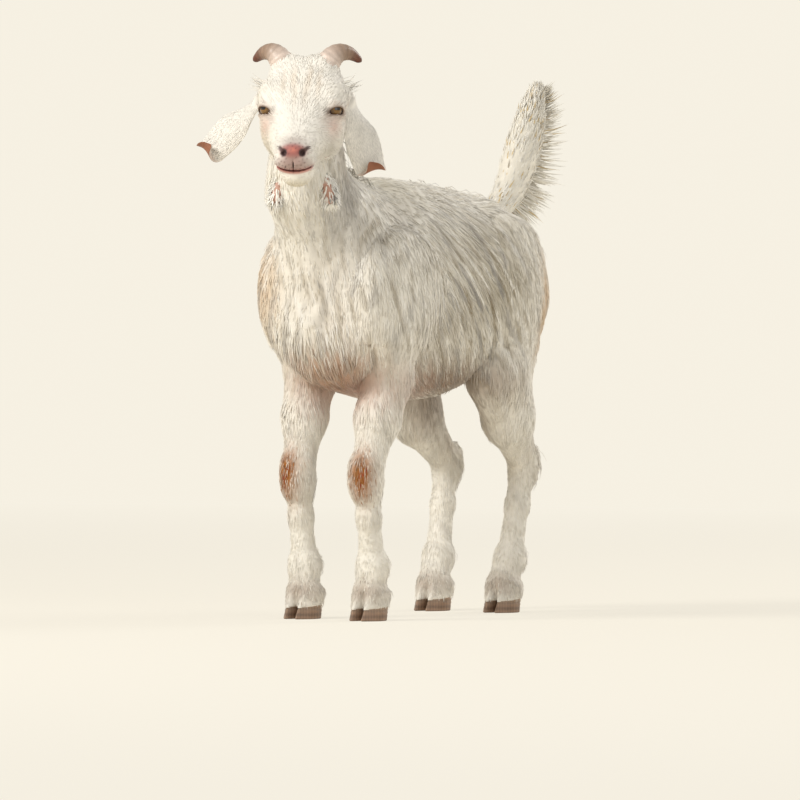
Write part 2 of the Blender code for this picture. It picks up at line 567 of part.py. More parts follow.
def make_head(goat):
    places = [(from_poll(forward, 0.0, up), wide, high) for forward, up, wide, high in SKULL_SECTIONS]
    rings = [ring(point, -Y_AXIS, X_AXIS, wide, high) for point, wide, high in places]
    head = goat.part(loft("head", rings, BODY_SIDES), HIDE, POLL, HEAD_FRAME)
    half, reach = POLL_TONGUE_HALF + GAP, POLL_KNUCKLE_RADIUS + 2 * GAP
    slot = box("poll_slot", from_poll(reach, -half, -0.06), from_poll(-0.06, half, reach))
    goat.cut(head, slot, bore(POLL, POLL_PIN_HALF_LENGTH + GAP, LIMB_PIN_RADIUS), frame=HEAD_FRAME)

    jaw_hinge = from_poll(JAW_HINGE[0], 0.0, JAW_HINGE[1])
    places = [(from_poll(forward, 0.0, up), wide, deep) for forward, up, wide, deep in JAW_SECTIONS]
    jaw = goat.part(path_loft("lower_jaw", places, LIMB_SIDES), HIDE, jaw_hinge, HEAD_FRAME)
    goat.cut(jaw, bore(jaw_hinge, THROUGH, LIMB_PIN_RADIUS), frame=HEAD_FRAME)
    (left, back, low), (right, front, high) = JAW_ROOM
    jaw_room = box("jaw_room", from_poll(front, left, low), from_poll(back, right, high))
    goat.cut(head, jaw_room, frame=HEAD_FRAME)
    goat.cut(head, bore(jaw_hinge, JAW_PIN_HALF_LENGTH + GAP, LIMB_PIN_RADIUS), frame=HEAD_FRAME)
    jaw_pin = cross_rod("jaw_pin", jaw_hinge, JAW_PIN_HALF_LENGTH, LIMB_PIN_RADIUS)
    goat.part(jaw_pin, STEEL, jaw_hinge, HEAD_FRAME)

    for side, sign in SIDES.items():
        eye = from_poll(EYE_AT[0], EYE_AT[1] * sign, EYE_AT[2])
        goat.part(ball(f"eye_{side}", eye, EYE_RADIUS), EYE, eye, HEAD_FRAME)
        goat.cut(head, ball("eye_socket", eye, EYE_RADIUS + GAP), frame=HEAD_FRAME)

        horn_foot = from_poll(HORN_SECTIONS[0][0], HORN_SECTIONS[0][1] * sign, HORN_SECTIONS[0][2])
        goat.part(horn_mesh(f"horn_{side}", sign, 0.0), HORN, horn_foot, HEAD_FRAME)
        goat.cut(head, horn_mesh("horn_socket", sign, GAP), frame=HEAD_FRAME)

        root = from_poll(EAR_ROOT[0], EAR_ROOT[1] * sign, EAR_ROOT[2])
        hang = Vector((math.sin(EAR_HANG[side]) * sign, 0.0, -math.cos(EAR_HANG[side])))
        first = [EAR_SECTIONS[0][:2]]
        rings = limb_rings(root, root + hang * EAR_LENGTH, first, across=Y_AXIS, round_tip=False)
        beside = hang.cross(Y_AXIS)
        for share, size, turned in EAR_SECTIONS[1:]:
            turn = EAR_TWIST * turned
            across = Y_AXIS * math.cos(turn) + beside * math.sin(turn) * sign
            rings.append(ring(root + hang * EAR_LENGTH * share, hang, across, *size))
        goat.part(loft(f"ear_{side}", rings, LIMB_SIDES), HIDE, root, HEAD_FRAME)
        half = EAR_SECTIONS[0][1][0] + GAP
        socket = rod("ear_socket", root - Y_AXIS * half, root + Y_AXIS * half, EAR_KNUCKLE_RADIUS + GAP)
        goat.cut(head, socket, frame=HEAD_FRAME)


def make_tail(goat):
    hinge = Vector(TAIL_HINGE)
    places = [(Vector((0.0, y, z)), wide, deep) for y, z, wide, deep in TAIL_SECTIONS]
    way = (places[1][0] - places[0][0]).normalized()
    rings = limb_rings(hinge, places[1][0], [(0.0, places[0][1:])], round_tip=False)[:2]
    for index, (point, half_width, half_depth) in enumerate(places):
        after = places[min(index + 1, len(places) - 1)][0]
        before = places[max(index - 1, 0)][0]
        rings.append(ring(point, (after - before).normalized(), X_AXIS, half_width, half_depth))
    tail = goat.part(loft("tail", rings, LIMB_SIDES), HIDE, hinge)
    rooms = tongue_rooms(hinge, way, TAIL_TONGUE_HALF, TAIL_CLEAR)
    goat.cut(tail, *rooms, bore(hinge, THROUGH, LIMB_PIN_RADIUS))
    goat.part(cross_rod("tail_pin", hinge, TAIL_PIN_HALF_LENGTH, LIMB_PIN_RADIUS), STEEL, hinge)


def main():
    clear_scene()
    goat = Goat()
    make_torso(goat)
    make_legs(goat)
    make_neck(goat)
    make_head(goat)
    make_tail(goat)


main()
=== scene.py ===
"""Looks of a young white goat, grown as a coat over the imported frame.

The skin is one distance field, cut at the joints into closed pieces. Each piece carries its own locks of
hair. Places are in metres: out to the goat's left, back along Y, and up. FRAME_Y moves them to the frame.
"""

import math
from typing import Callable, NamedTuple

import bpy
import numpy as np
import openvdb as vdb
from mathutils import Matrix, Vector


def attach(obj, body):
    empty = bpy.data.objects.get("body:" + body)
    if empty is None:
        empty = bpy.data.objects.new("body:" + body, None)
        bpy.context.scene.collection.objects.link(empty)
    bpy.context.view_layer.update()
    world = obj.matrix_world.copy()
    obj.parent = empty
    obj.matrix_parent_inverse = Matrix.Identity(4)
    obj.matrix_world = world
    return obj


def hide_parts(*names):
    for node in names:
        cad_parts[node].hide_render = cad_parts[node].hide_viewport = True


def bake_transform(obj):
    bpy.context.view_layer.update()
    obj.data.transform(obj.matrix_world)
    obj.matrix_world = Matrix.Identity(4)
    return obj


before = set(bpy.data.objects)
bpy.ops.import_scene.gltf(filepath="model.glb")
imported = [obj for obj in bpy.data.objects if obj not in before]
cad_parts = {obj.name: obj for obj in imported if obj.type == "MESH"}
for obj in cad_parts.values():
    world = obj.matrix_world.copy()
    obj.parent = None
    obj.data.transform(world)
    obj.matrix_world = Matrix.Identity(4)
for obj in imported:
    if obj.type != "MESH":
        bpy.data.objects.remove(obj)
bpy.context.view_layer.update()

FRAME_Y = 0.0132
RNG = np.random.default_rng(20)
SIDES = {"left": 1.0, "right": -1.0}
BOTH = (1, -1)
LEGS = [(end, side, sign) for side, sign in SIDES.items() for end in ("fore", "hind")]

# Joints of the left side
SHOULDER = (0.0790, -0.150, 0.430)
ELBOW = (0.0580, -0.140, 0.315)
KNEE = (0.0545, -0.176, 0.187)
FORE_FETLOCK = (0.0515, -0.162, 0.071)
HIP = (0.0790, 0.145, 0.445)
STIFLE = (0.0790, 0.110, 0.320)
HOCK = (0.0560, 0.232, 0.200)
HIND_FETLOCK = (0.0520, 0.204, 0.072)
HOOF_OUT = 0.0500
FORE_HOOF_Y = -0.175
HIND_HOOF_Y = 0.180
LEFT_KNEE_LEAD = 0.010
RIGHT_HIND_LEAD = 0.012
CORONET_BACK = 0.0095  # the top of a hoof lies this far behind the middle of its sole

NECK_HINGE = np.array((0.0, -0.160, 0.455))
NECK_SLOPE = math.radians(40)
NECK_WAY = np.array((0.0, -math.sin(NECK_SLOPE), math.cos(NECK_SLOPE)))
NECK_SEAM = 0.140
TURN = NECK_HINGE + NECK_WAY * NECK_SEAM
POLL = np.array((0.0, -0.268, 0.636))
HEAD_YAW = math.radians(24)
HEAD_TURN = np.array(Matrix.Rotation(HEAD_YAW, 3, "Z"))


# Distance fields


def smooth_step(low, high, value):
    t = np.clip((value - low) / (high - low), 0.0, 1.0)
    return t * t * (3 - 2 * t)


def smin(a, b, k):
    h = np.clip(0.5 + 0.5 * (b - a) / k, 0.0, 1.0)
    return b * (1 - h) + a * h - k * h * (1 - h)


def smax(a, b, k):
    return -smin(-a, -b, k)


def ball(p, centre, radius):
    return np.linalg.norm(p - np.asarray(centre), axis=-1) - radius


def ellipsoid(p, centre, radii):
    radii = np.asarray(radii)
    q = (p - np.asarray(centre)) / radii
    length = np.linalg.norm(q, axis=-1)
    slope = np.linalg.norm(q / radii, axis=-1) + 1e-9
    return length * (length - 1.0) / slope


def cone(p, start, end, start_radius, end_radius, wide=1.0):
    """Round cone between two points, its sides scaled across the body by wide."""
    start, end = np.asarray(start, float), np.asarray(end, float)
    way = end - start
    q = p - start
    t = np.clip(q @ way / (way @ way), 0.0, 1.0)
    off = q - t[..., None] * way
    off = off / np.array((wide, 1.0, 1.0))
    return np.linalg.norm(off, axis=-1) - (start_radius + (end_radius - start_radius) * t)


def chain(p, points, radii, k, wide=1.0):
    made = None
    for a, b, ra, rb in zip(points, points[1:], radii, radii[1:]):
        d = cone(p, a, b, ra, rb, wide)
        made = d if made is None else smin(made, d, k)
    return made


def plane_field(p, point, normal):
    """Negative on the side that normal points away from."""
    return (p - np.asarray(point)) @ np.asarray(normal)


def curve_through(x, places, values):
    """Hermite interpolation between given values."""
    places, values = np.asarray(places, float), np.asarray(values, float)
    slopes = np.gradient(values, places)
    i = np.clip(np.searchsorted(places, x) - 1, 0, len(places) - 2)
    gap = places[i + 1] - places[i]
    t = np.clip((x - places[i]) / gap, 0.0, 1.0)
    a, b = values[i], values[i + 1]
    sa, sb = slopes[i] * gap, slopes[i + 1] * gap
    return a + t * sa + t * t * (3 * (b - a) - 2 * sa - sb) + t ** 3 * (2 * (a - b) + sa + sb)


def grid_mesh(field, low, high, voxel):
    """Vertices and quads of the field's zero surface inside a box."""
    axes = [np.arange(a, b + voxel, voxel) for a, b in zip(low, high)]
    p = np.stack(np.meshgrid(*axes, indexing="ij"), axis=-1)
    values = field(p).astype(np.float32)
    grid = vdb.FloatGrid(1.0)
    grid.copyFromArray(np.ascontiguousarray(values))
    grid.transform = vdb.createLinearTransform(voxelSize=voxel)
    points, quads = grid.convertToQuads()
    return points.astype(np.float64) + np.array([a[0] for a in axes]), quads.astype(np.int64)


# The goat's body. Each row of the torso: place along Y, top, bottom and half width
TORSO = np.array([
    (-0.245, 0.440, 0.395, 0.018),
    (-0.234, 0.484, 0.348, 0.055),
    (-0.200, 0.518, 0.314, 0.084),
    (-0.150, 0.532, 0.300, 0.098),
    (-0.095, 0.566, 0.292, 0.106),
    (-0.010, 0.570, 0.286, 0.114),
    (0.070, 0.563, 0.294, 0.116),
    (0.140, 0.555, 0.320, 0.108),
    (0.195, 0.540, 0.362, 0.088),
    (0.228, 0.510, 0.400, 0.054),
    (0.240, 0.475, 0.435, 0.015),
])
THINNEST = 0.004
BACKBONE = (0, -0.10, 0.545), (0, 0.19, 0.525), 0.022, 0.022
BREASTBONE = (0, -0.215, 0.37), (0, -0.05, 0.325), 0.035, 0.03
HIP_BONES = (0.052, 0.135, 0.528, 0.018), (0.040, 0.222, 0.485, 0.017)
NECK_ROOT = (0, -0.130, 0.462), (0, -0.192, 0.512)
NECK_TOP = (-0.006, -0.045), (-0.008, -0.015), (-0.002, 0.03)  # forward of the poll and up
NECK_RADII = 0.082, 0.067, 0.051, 0.0425, 0.038, 0.034


def torso_field(p):
    along_y = p[..., 1]
    top, bottom, half = (curve_through(along_y, TORSO[:, 0], TORSO[:, i]) for i in (1, 2, 3))
    high = np.maximum((top - bottom) / 2, THINNEST)
    half = np.maximum(half, THINNEST)
    q = np.hypot(p[..., 0] / half, (p[..., 2] - (top + bottom) / 2) / high)
    d = (q - 1.0) * np.minimum(half, high)
    d = np.maximum(d, np.maximum(TORSO[0, 0] - along_y, along_y - TORSO[-1, 0]))
    d = smin(d, cone(p, *BACKBONE), 0.04)
    d = smin(d, cone(p, *BREASTBONE), 0.03)
    for sign in BOTH:
        for x, y, z, radius in HIP_BONES:
            d = smin(d, ball(p, (x * sign, y, z), radius), 0.03)
    return d


def head_point(forward, out, up):
    local = POLL - TURN + np.array((out, -forward, up))
    return TURN + HEAD_TURN @ local


def neck_field(p):
    points = [*NECK_ROOT, TURN, *(head_point(forward, 0.0, up) for forward, up in NECK_TOP)]
    return chain(p, points, NECK_RADII, 0.03, 0.90)


def body_field(p):
    return smin(torso_field(p), neck_field(p), 0.05)


def leg_joints(end, sign):
    points = (SHOULDER, ELBOW, KNEE, FORE_FETLOCK) if end == "fore" else (HIP, STIFLE, HOCK, HIND_FETLOCK)
    joints = [np.array((x * sign, y, z)) for x, y, z in points]
    if end == "fore" and sign > 0:
        joints[2][1] -= LEFT_KNEE_LEAD
    if end == "hind" and sign < 0:
        for joint in joints[1:]:
            joint[1] -= RIGHT_HIND_LEAD
    hoof_y = FORE_HOOF_Y if end == "fore" else HIND_HOOF_Y - (RIGHT_HIND_LEAD if sign < 0 else 0.0)
    return joints, np.array((HOOF_OUT * sign, hoof_y, 0.0))


def leg_field(p, end, sign):
    (_, middle, low, fetlock), sole = leg_joints(end, sign)
    bone = low - middle
    if end == "fore":
        d = ellipsoid(p, (0.070 * sign, -0.150, 0.432), (0.036, 0.082, 0.090))
        d = smin(d, cone(p, (0.068 * sign, -0.146, 0.395), middle, 0.046, 0.033, 0.8), 0.03)
        belly = middle + bone * 0.38 + (0, -0.002, 0)
        d = smin(d, chain(p, [middle, belly, low], [0.033, 0.0285, 0.0195], 0.02, 0.9), 0.02)
        d = smin(d, ball(p, middle + (0, 0.024, 0.004), 0.016), 0.02)
        d = smin(d, cone(p, low + (0, -0.003, 0.014), low + (0, -0.003, -0.012), 0.0205, 0.0195), 0.012)
    else:
        d = ellipsoid(p, (0.070 * sign, 0.152, 0.446), (0.040, 0.084, 0.094))
        d = smin(d, cone(p, (0.070 * sign, 0.140, 0.415), middle + (0, 0.012, 0.01), 0.058, 0.044, 0.8), 0.03)
        d = smin(d, cone(p, (0.066 * sign, 0.195, 0.42), middle + bone * 0.45, 0.040, 0.030, 0.8), 0.03)
        d = smin(d, chain(p, [middle, middle + bone * 0.5, low], [0.042, 0.033, 0.0195], 0.02, 0.85), 0.025)
        d = smin(d, cone(p, low + (0, 0.016, 0.014), low + (0, 0.004, -0.016), 0.0120, 0.0150), 0.012)
    shin = low + (fetlock - low) * 0.45
    d = smin(d, chain(p, [low, shin, fetlock], [0.0180, 0.0142, 0.0170], 0.012), 0.012)
    d = smin(d, ball(p, fetlock + (0, 0.004, 0.0), 0.0178), 0.012)
    return smin(d, cone(p, fetlock, sole + (0, CORONET_BACK, 0.040), 0.0168, 0.0195, 1.08), 0.012)


# Colour of the coat: a pale base, then soft patches of colour, some of them painted shade
WHITE = np.array((0.84, 0.81, 0.74))
OCHRE = (0.55, 0.33, 0.13)
RUST = (0.36, 0.16, 0.06)
UMBER = (0.23, 0.13, 0.07)
GREY = (0.50, 0.46, 0.40)
OLIVE = (0.33, 0.25, 0.13)
ROSE = (0.58, 0.33, 0.26)

# Each patch: centre, radii, colour and strength
PATCHES = [
    # Painted shade: grey-beige over the barrel, and olive on its left flank
    ((0.0, 0.03, 0.45), (0.5, 0.17, 0.12), (0.55, 0.50, 0.41), 0.55),
    ((0.10, 0.06, 0.46), (0.06, 0.07, 0.08), (0.38, 0.32, 0.20), 0.50),
    ((0.10, -0.06, 0.36), (0.06, 0.06, 0.05), (0.45, 0.40, 0.32), 0.6),
    # Painted shade: dark umber under the belly
    ((0.06, -0.01, 0.312), (0.13, 0.12, 0.030), UMBER, 0.92),
    ((0.10, 0.01, 0.364), (0.06, 0.09, 0.010), (0.84, 0.81, 0.74), 0.75),
    ((0.0, -0.185, 0.318), (0.065, 0.055, 0.030), RUST, 0.9),
    ((0.015, -0.215, 0.338), (0.055, 0.035, 0.022), RUST, 0.85),
    ((0.02, -0.12, 0.30), (0.06, 0.08, 0.03), ROSE, 0.9),
    ((0.035, -0.20, 0.385), (0.03, 0.03, 0.03), ROSE, 0.35),
    ((-0.075, -0.205, 0.435), (0.028, 0.045, 0.055), OCHRE, 0.8),
    ((0.115, 0.195, 0.415), (0.04, 0.020, 0.060), OCHRE, 0.85),
    ((0.06, -0.13, 0.52), (0.03, 0.035, 0.06), GREY, 0.45),
    ((0.03, -0.09, 0.58), (0.05, 0.05, 0.03), (0.42, 0.36, 0.20), 0.40),
    # Painted shade: grey down the left side of the neck
    ((0.05, -0.235, 0.545), (0.032, 0.05, 0.085), (0.36, 0.34, 0.32), 0.62),
    ((0.02, -0.23, 0.43), (0.05, 0.06, 0.06), (0.55, 0.47, 0.38), 0.42),
]


def leg_patches(sign):
    (_, _, knee, fetlock), sole = leg_joints("fore", sign)
    yield knee + (0.004 * sign, -0.020, 0.004), (0.017, 0.017, 0.036), RUST, 1.3
    yield fetlock + (0, 0.015, -0.01), (0.025, 0.016, 0.02), GREY, 0.5
    yield sole + (0, 0, 0.038), (0.03, 0.04, 0.014), UMBER, 0.65
    (_, stifle, hock, _), sole = leg_joints("hind", sign)
    yield hock + (0, 0.012, 0.0), (0.025, 0.02, 0.035), OLIVE, 0.6
    yield stifle + (-0.04 * sign, 0.03, -0.02), (0.03, 0.07, 0.07), UMBER, 0.6
    yield hock + (0, -0.02, 0.035), (0.03, 0.016, 0.03), (0.42, 0.30, 0.18), 0.45
    yield sole + (0, 0, 0.038), (0.03, 0.04, 0.014), UMBER, 0.6


for sign in BOTH:
    PATCHES += leg_patches(sign)

# Bands of olive, grey and white hair; the dark bands also paint shade and the white ones paint highlights:
# colour, pitch, bend and start
STROKES = (
    ((0.26, 0.20, 0.11), 340, 38, 0.0),
    ((0.33, 0.31, 0.29), 230, 27, 2.0),
    ((0.95, 0.93, 0.88), 280, 31, 4.0),
)
# Where the bands are strong, and so where they paint shade on the barrel and the neck: place along Y and up,
# and how far they reach
BARREL = 0.01, 0.43, 0.14, 0.11
BREAST = -0.19, 0.42, 0.07, 0.09
NECK_SHADE = -0.20, 0.57, 0.07, 0.08


def zone(p, place):
    """Fades from 1 at a place on the goat's side to 0 around it."""
    y, z, long, high = place
    return np.exp(-((p[..., 1] - y) / long) ** 2 - ((p[..., 2] - z) / high) ** 2)


def strokes(p):
    """Long soft bands that follow the fall of the hair, with painted shade and painted highlight in them, and
    how strong they are.
    """
    x, y, z = p[..., 0], p[..., 1], p[..., 2]
    trunk = smooth_step(-0.17, -0.07, y)
    across = trunk * (0.78 * y + 0.62 * z) + (1 - trunk) * (0.95 * x + 0.2 * y)
    bands = []
    for _, pitch, bend, start in STROKES:
        band = np.sin(across * pitch + 2.6 * np.sin(z * bend + y * 17 + start) + (x * 60 + start) * trunk)
        broken = np.sin(z * 2.1 * bend + 2.2 * np.sin(y * 52 + x * 35 + start) + y * 31 + 2 * start)
        bands.append(smooth_step(0.25, 0.95, band) * smooth_step(-0.55, 0.45, broken))
    # Painted shade: grey bands on the left side of the neck
    neck = 0.75 * zone(p, NECK_SHADE) * smooth_step(-0.01, 0.03, x)
    return bands, 0.14 + 0.72 * np.maximum(np.maximum(zone(p, BARREL), 0.55 * zone(p, BREAST)), neck)


def coat_colour(p, at=None):
    """Patches of colour and of painted shade at p, with the strokes at another place if one is given."""
    colour = np.broadcast_to(WHITE, p.shape).copy()
    for centre, radii, tone, strength in PATCHES:
        amount = strength * np.exp(-np.sum(((p - centre) / radii) ** 2, axis=-1))
        colour += (tone - colour) * amount[..., None]
    bands, share = strokes(p if at is None else at)
    bands[-1] = bands[-1] * smooth_step(0.20, 0.55, colour.mean(-1))
    for band, (tone, *_) in zip(bands, STROKES):
        colour += (tone - colour) * (band * share)[..., None]
    return colour


# What single locks stray to: white, cream, straw or grey, how often and how far
STRAY_TONES = np.array(((0.93, 0.91, 0.86), (0.80, 0.74, 0.62), (0.46, 0.39, 0.27), (0.46, 0.44, 0.41)))
STRAY_CHANCE = np.array((0.42, 0.28, 0.16, 0.14))
STRAY_REACH = np.array((0.9, 0.8, 0.62, 0.6))


def hair_colour(place, variety):
    """Each lock takes the coat's colour near its root, then strays from it."""
    colour = coat_colour(place + RNG.normal(0, 1, place.shape) * (0.004, 0.004, 0.008), place)
    pick = RNG.choice(4, len(place), p=STRAY_CHANCE)
    darkness = np.clip(colour.mean(1) / WHITE.mean(), 0.25, 1.0)
    amount = variety * RNG.random(len(place)) * STRAY_REACH[pick]
    amount = amount * (0.35 + 0.65 * smooth_step(0.45, 0.9, darkness))
    # Painted shade: on the barrel more locks stray to straw and grey, fewer to white and cream
    barrel = zone(place, BARREL)
    amount = np.clip(amount * np.where(pick >= 2, 1.0 + 1.2 * barrel, 1.0 - 0.5 * barrel), 0.0, 1.0)
    return colour + (STRAY_TONES[pick] * darkness[:, None] - colour) * amount[:, None]


# Hair


def unit(v):
    return v / np.maximum(np.linalg.norm(v, axis=-1, keepdims=True), 1e-9)


def columns(*parts):
    return np.stack(np.broadcast_arrays(*parts), axis=-1)


def surface_samples(points, quads, count):
    """Places spread evenly over a quad mesh, with their normals."""
    tris = np.concatenate((quads[:, [0, 1, 2]], quads[:, [0, 2, 3]]))
    a, b, c = (points[tris[:, i]] for i in range(3))
    cross = np.cross(b - a, c - a)
    area = np.linalg.norm(cross, axis=1)
    steps = np.cumsum(area)
    picked = np.searchsorted(steps, RNG.random(count) * steps[-1])
    u, v = RNG.random((2, count))
    over = u + v > 1
    u[over], v[over] = 1 - u[over], 1 - v[over]
    place = a[picked] + (b - a)[picked] * u[:, None] + (c - a)[picked] * v[:, None]
    normal = cross[picked] / np.maximum(area[picked], 1e-12)[:, None]
    return place, normal


def square_to(vectors, way):
    """Unit vectors: the share of each vector that is square to its way."""
    return unit(vectors - way * np.sum(vectors * way, axis=1, keepdims=True))


def lay(flow, normal, scatter):
    return square_to(flow + RNG.normal(0, scatter, flow.shape), normal)


LOCK_VERTS = 7
SHARP_ANGLE = math.radians(70)


def lock_mesh(base, normal, way, length, width, lift, droop):
    """Closed three-sided locks: a root, a belly and a tip each."""
    n = len(base)
    side = unit(np.cross(normal, way))
    up = unit(np.cross(way, side))
    length, width, lift, droop = (np.broadcast_to(v, (n,))[:, None] for v in (length, width, lift, droop))
    root = base - up * width * 0.5
    belly = base + way * length * 0.45 + up * lift
    tip = base + way * length + up * (lift - droop)
    rows = []
    for centre, size in ((root, 0.8), (belly, 1.0)):
        rows += [centre + side * width * size, centre - side * width * size, centre + up * width * size * 0.7]
    verts = np.stack(rows + [tip], axis=1).reshape(-1, 3)
    start = (np.arange(n) * LOCK_VERTS)[:, None]
    quads = np.concatenate([start + np.array(f) for f in ((0, 3, 4, 1), (1, 4, 5, 2), (2, 5, 3, 0))])
    tris = np.concatenate([start + np.array(f) for f in ((3, 6, 4), (4, 6, 5), (5, 6, 3), (0, 1, 2))])
    return verts, quads, tris


class Piece:
    """Collects faces and locks of hair, then makes one object of them."""

    def __init__(self, name):
        self.name = name
        self.verts, self.quads, self.tris, self.tints = [], [], [], []
        self.count = 0

    def add(self, verts, quads, tris, tint):
        self.quads.append(np.asarray(quads, np.int64).reshape(-1, 4) + self.count)
        self.tris.append(np.asarray(tris, np.int64).reshape(-1, 3) + self.count)
        self.verts.append(verts)
        self.tints.append(np.broadcast_to(tint, verts.shape))
        self.count += len(verts)

    def add_locks(self, base, normal, way, length, width, lift, droop, tint):
        verts, quads, tris = lock_mesh(base, normal, way, length, width, lift, droop)
        self.add(verts, quads, tris, np.repeat(np.broadcast_to(tint, base.shape), LOCK_VERTS, axis=0))

    def build(self, material):
        verts = np.concatenate(self.verts) + np.array((0.0, FRAME_Y, 0.0))
        quads, tris = np.concatenate(self.quads), np.concatenate(self.tris)
        mesh = bpy.data.meshes.new(self.name)
        mesh.vertices.add(len(verts))
        mesh.vertices.foreach_set("co", verts.ravel())
        loops = np.concatenate((quads.ravel(), tris.ravel()))
        mesh.loops.add(len(loops))
        mesh.loops.foreach_set("vertex_index", loops)
        sizes = np.concatenate((np.full(len(quads), 4), np.full(len(tris), 3)))
        mesh.polygons.add(len(sizes))
        mesh.polygons.foreach_set("loop_start", np.concatenate(((0,), np.cumsum(sizes)[:-1])))
        mesh.update(calc_edges=True)
        mesh.validate()
        tint = mesh.attributes.new("tint", "FLOAT_COLOR", "POINT")
        colours = np.concatenate((np.concatenate(self.tints), np.ones((len(verts), 1))), axis=1)
        tint.data.foreach_set("color", colours.astype(np.float32).ravel())
        mesh.shade_smooth()
        mesh.set_sharp_from_angle(angle=SHARP_ANGLE)
        mesh.materials.append(material)
        obj = bpy.data.objects.new(self.name, mesh)
        bpy.context.scene.collection.objects.link(obj)
        return obj

    def settle(self, material, how, nodes=()):
        """Sets the piece on one body, or leaves it where it stands when it spans a joint, in place of some
        nodes.
        """
        obj = self.build(material)
        if len(how) == 1:
            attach(obj, how[0])
        else:
            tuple(how[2])
            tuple(how[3])
            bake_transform(obj)
        if nodes:
            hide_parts(*nodes)


class Growth(NamedTuple):
    """One growth of hair: its locks, the way they run and where they are kept."""

    count: int
    flow: Callable
    length: float
    width: float
    lift: float
    scatter: float
    keep: Callable
    variety: float = 1.0

    def grow(self, piece, points, quads):
        base, normal = surface_samples(points, quads, self.count)
        chosen = self.keep(base, normal)
        base, normal = base[chosen], normal[chosen]
        way = lay(self.flow(base, normal), normal, self.scatter)
        length = self.length * (0.6 + 0.8 * RNG.random(len(base)))
        width = self.width * (0.7 + 0.6 * RNG.random(len(base)))
        tint = hair_colour(base, self.variety)
        piece.add_locks(base, normal, way, length, width, self.lift, self.lift * 0.9, tint)


def shifted(point):
    return (float(point[0]), float(point[1]) + FRAME_Y, float(point[2]))


# Materials


def set_inputs(tree, node, inputs):
    """Each input is a constant or a socket to link."""
    for name, value in inputs.items():
        if isinstance(value, bpy.types.NodeSocket):
            tree.links.new(value, node.inputs[name])
        else:
            node.inputs[name].default_value = value


def add_node(tree, kind, inputs, **settings):
    node = tree.nodes.new("ShaderNode" + kind)
    for name, value in settings.items():
        setattr(node, name, value)
    set_inputs(tree, node, inputs)
    return node


def new_material(name):
    made = bpy.data.materials.new(name)
    made.use_nodes = True
    return made, made.node_tree, made.node_tree.nodes["Principled BSDF"]


def add_noise(tree, inputs):
    """Noise that stays with the object as it moves."""
    place = add_node(tree, "TexCoord", {})
    return add_node(tree, "TexNoise", {"Vector": place.outputs["Object"], **inputs}).outputs["Fac"]


def add_range(tree, value, low, high):
    return add_node(tree, "MapRange", {"Value": value, "To Min": low, "To Max": high}).outputs["Result"]


def mottled(name, scale, detail, low, high, relief, depth):
    """The mesh's own tint, mottled, with fine relief."""
    made, tree, shader = new_material(name)
    tint = add_node(tree, "Attribute", {}, attribute_name="tint").outputs["Color"]
    noise = add_noise(tree, {"Scale": scale, "Detail": detail})
    mix = {"Factor": 1.0, "A": tint, "B": add_range(tree, noise, low, high)}
    mix = add_node(tree, "Mix", mix, data_type="RGBA", blend_type="MULTIPLY")
    bump = add_node(tree, "Bump", {"Strength": relief, "Distance": depth, "Height": noise})
    set_inputs(tree, shader, {"Base Color": mix.outputs["Result"], "Normal": bump.outputs["Normal"]})
    return made, tree, shader, noise


def coat_material():
    """Hair: rougher in streaks, with a faint sheen."""
    made, tree, shader, noise = mottled("goat_coat", 90.0, 4.0, 0.86, 1.10, 0.25, 0.001)
    set_inputs(tree, shader, {"Roughness": add_range(tree, noise, 0.55, 0.8), "Sheen Weight": 0.15})
    return made


def bare_material(name, scale, low, high, roughness, depth, coat=0.0):
    """Horn, flesh or an eye under a clear coat."""
    made, tree, shader, _ = mottled(name, scale, 6.0, low, high, 0.4, depth)
    set_inputs(tree, shader, {
        "Roughness": roughness, "Coat Weight": coat, "Coat Roughness": 0.05,
        "Specular IOR Level": 0.5 * (1 - coat),
    })
    return made


# Each bare one: name, scale of its mottling, darkest and palest share, roughness, depth of relief, clear coat
COAT = coat_material()
HORN_SHELL = bare_material("goat_horn", 140.0, 0.72, 1.22, 0.42, 0.0006)
HOOF_HORN = bare_material("goat_hoof", 120.0, 0.65, 1.3, 0.5, 0.0006)
EYE_GLOSS = bare_material("goat_eye", 400.0, 0.85, 1.15, 0.15, 0.00005, 0.6)
FLESH = bare_material("goat_flesh", 160.0, 0.85, 1.12, 0.55, 0.0005)


# Trunk and neck

SEAM_OVERLAP = 0.006  # a piece runs on this far under its neighbour
SEAM_SINK = 0.0006
SKIN_SHADE = 0.94
TRUNK_VOXEL = 0.004
TRUNK_BOX = (-0.14, -0.27, 0.26), (0.14, 0.26, 0.60)
NECK_BOX = (-0.12, -0.40, 0.34), (0.14, 0.02, 0.74)
NECK_START = 0.002
NAPE_FACING = np.array((0.0, 0.77, 0.64))
# Each stretch of the neck: the bodies at its ends, its nodes, where it starts and ends, where it bends, and
# how many short locks and mane locks it has
NECK = (
    ("torso", "neck", ["neck"], (NECK_START, 0.100), (0.008, 0.092), 4200, 1300),
    ("neck", "upper_neck", ["upper_neck"], (0.100, 0.178), (0.108, 0.170), 3200, 1200),
    ("upper_neck", "head", [], (0.178, 0.27), (0.184, 0.222), 1500, 700),
)


def body_flow(p, normal):
    """Hair runs back along the trunk and falls down its sides, and down the neck and breast."""
    back = smooth_step(-0.24, -0.10, p[:, 1])[:, None]
    trunk = columns(0.0, 0.75, -0.35 - 0.6 * np.abs(normal[:, 0]))
    neck = columns(0.15 * np.sign(p[:, 0]), 0.15, -1.0)
    return neck * (1 - back) + trunk * back


def nape_flow(p, normal):
    """The mane stands off the nape, back and a little down."""
    return columns(0.25 * np.sign(p[:, 0]), 1.0, -0.50)


def leg_flow(p, normal):
    return np.broadcast_to((0.0, 0.15, -1.0), p.shape)


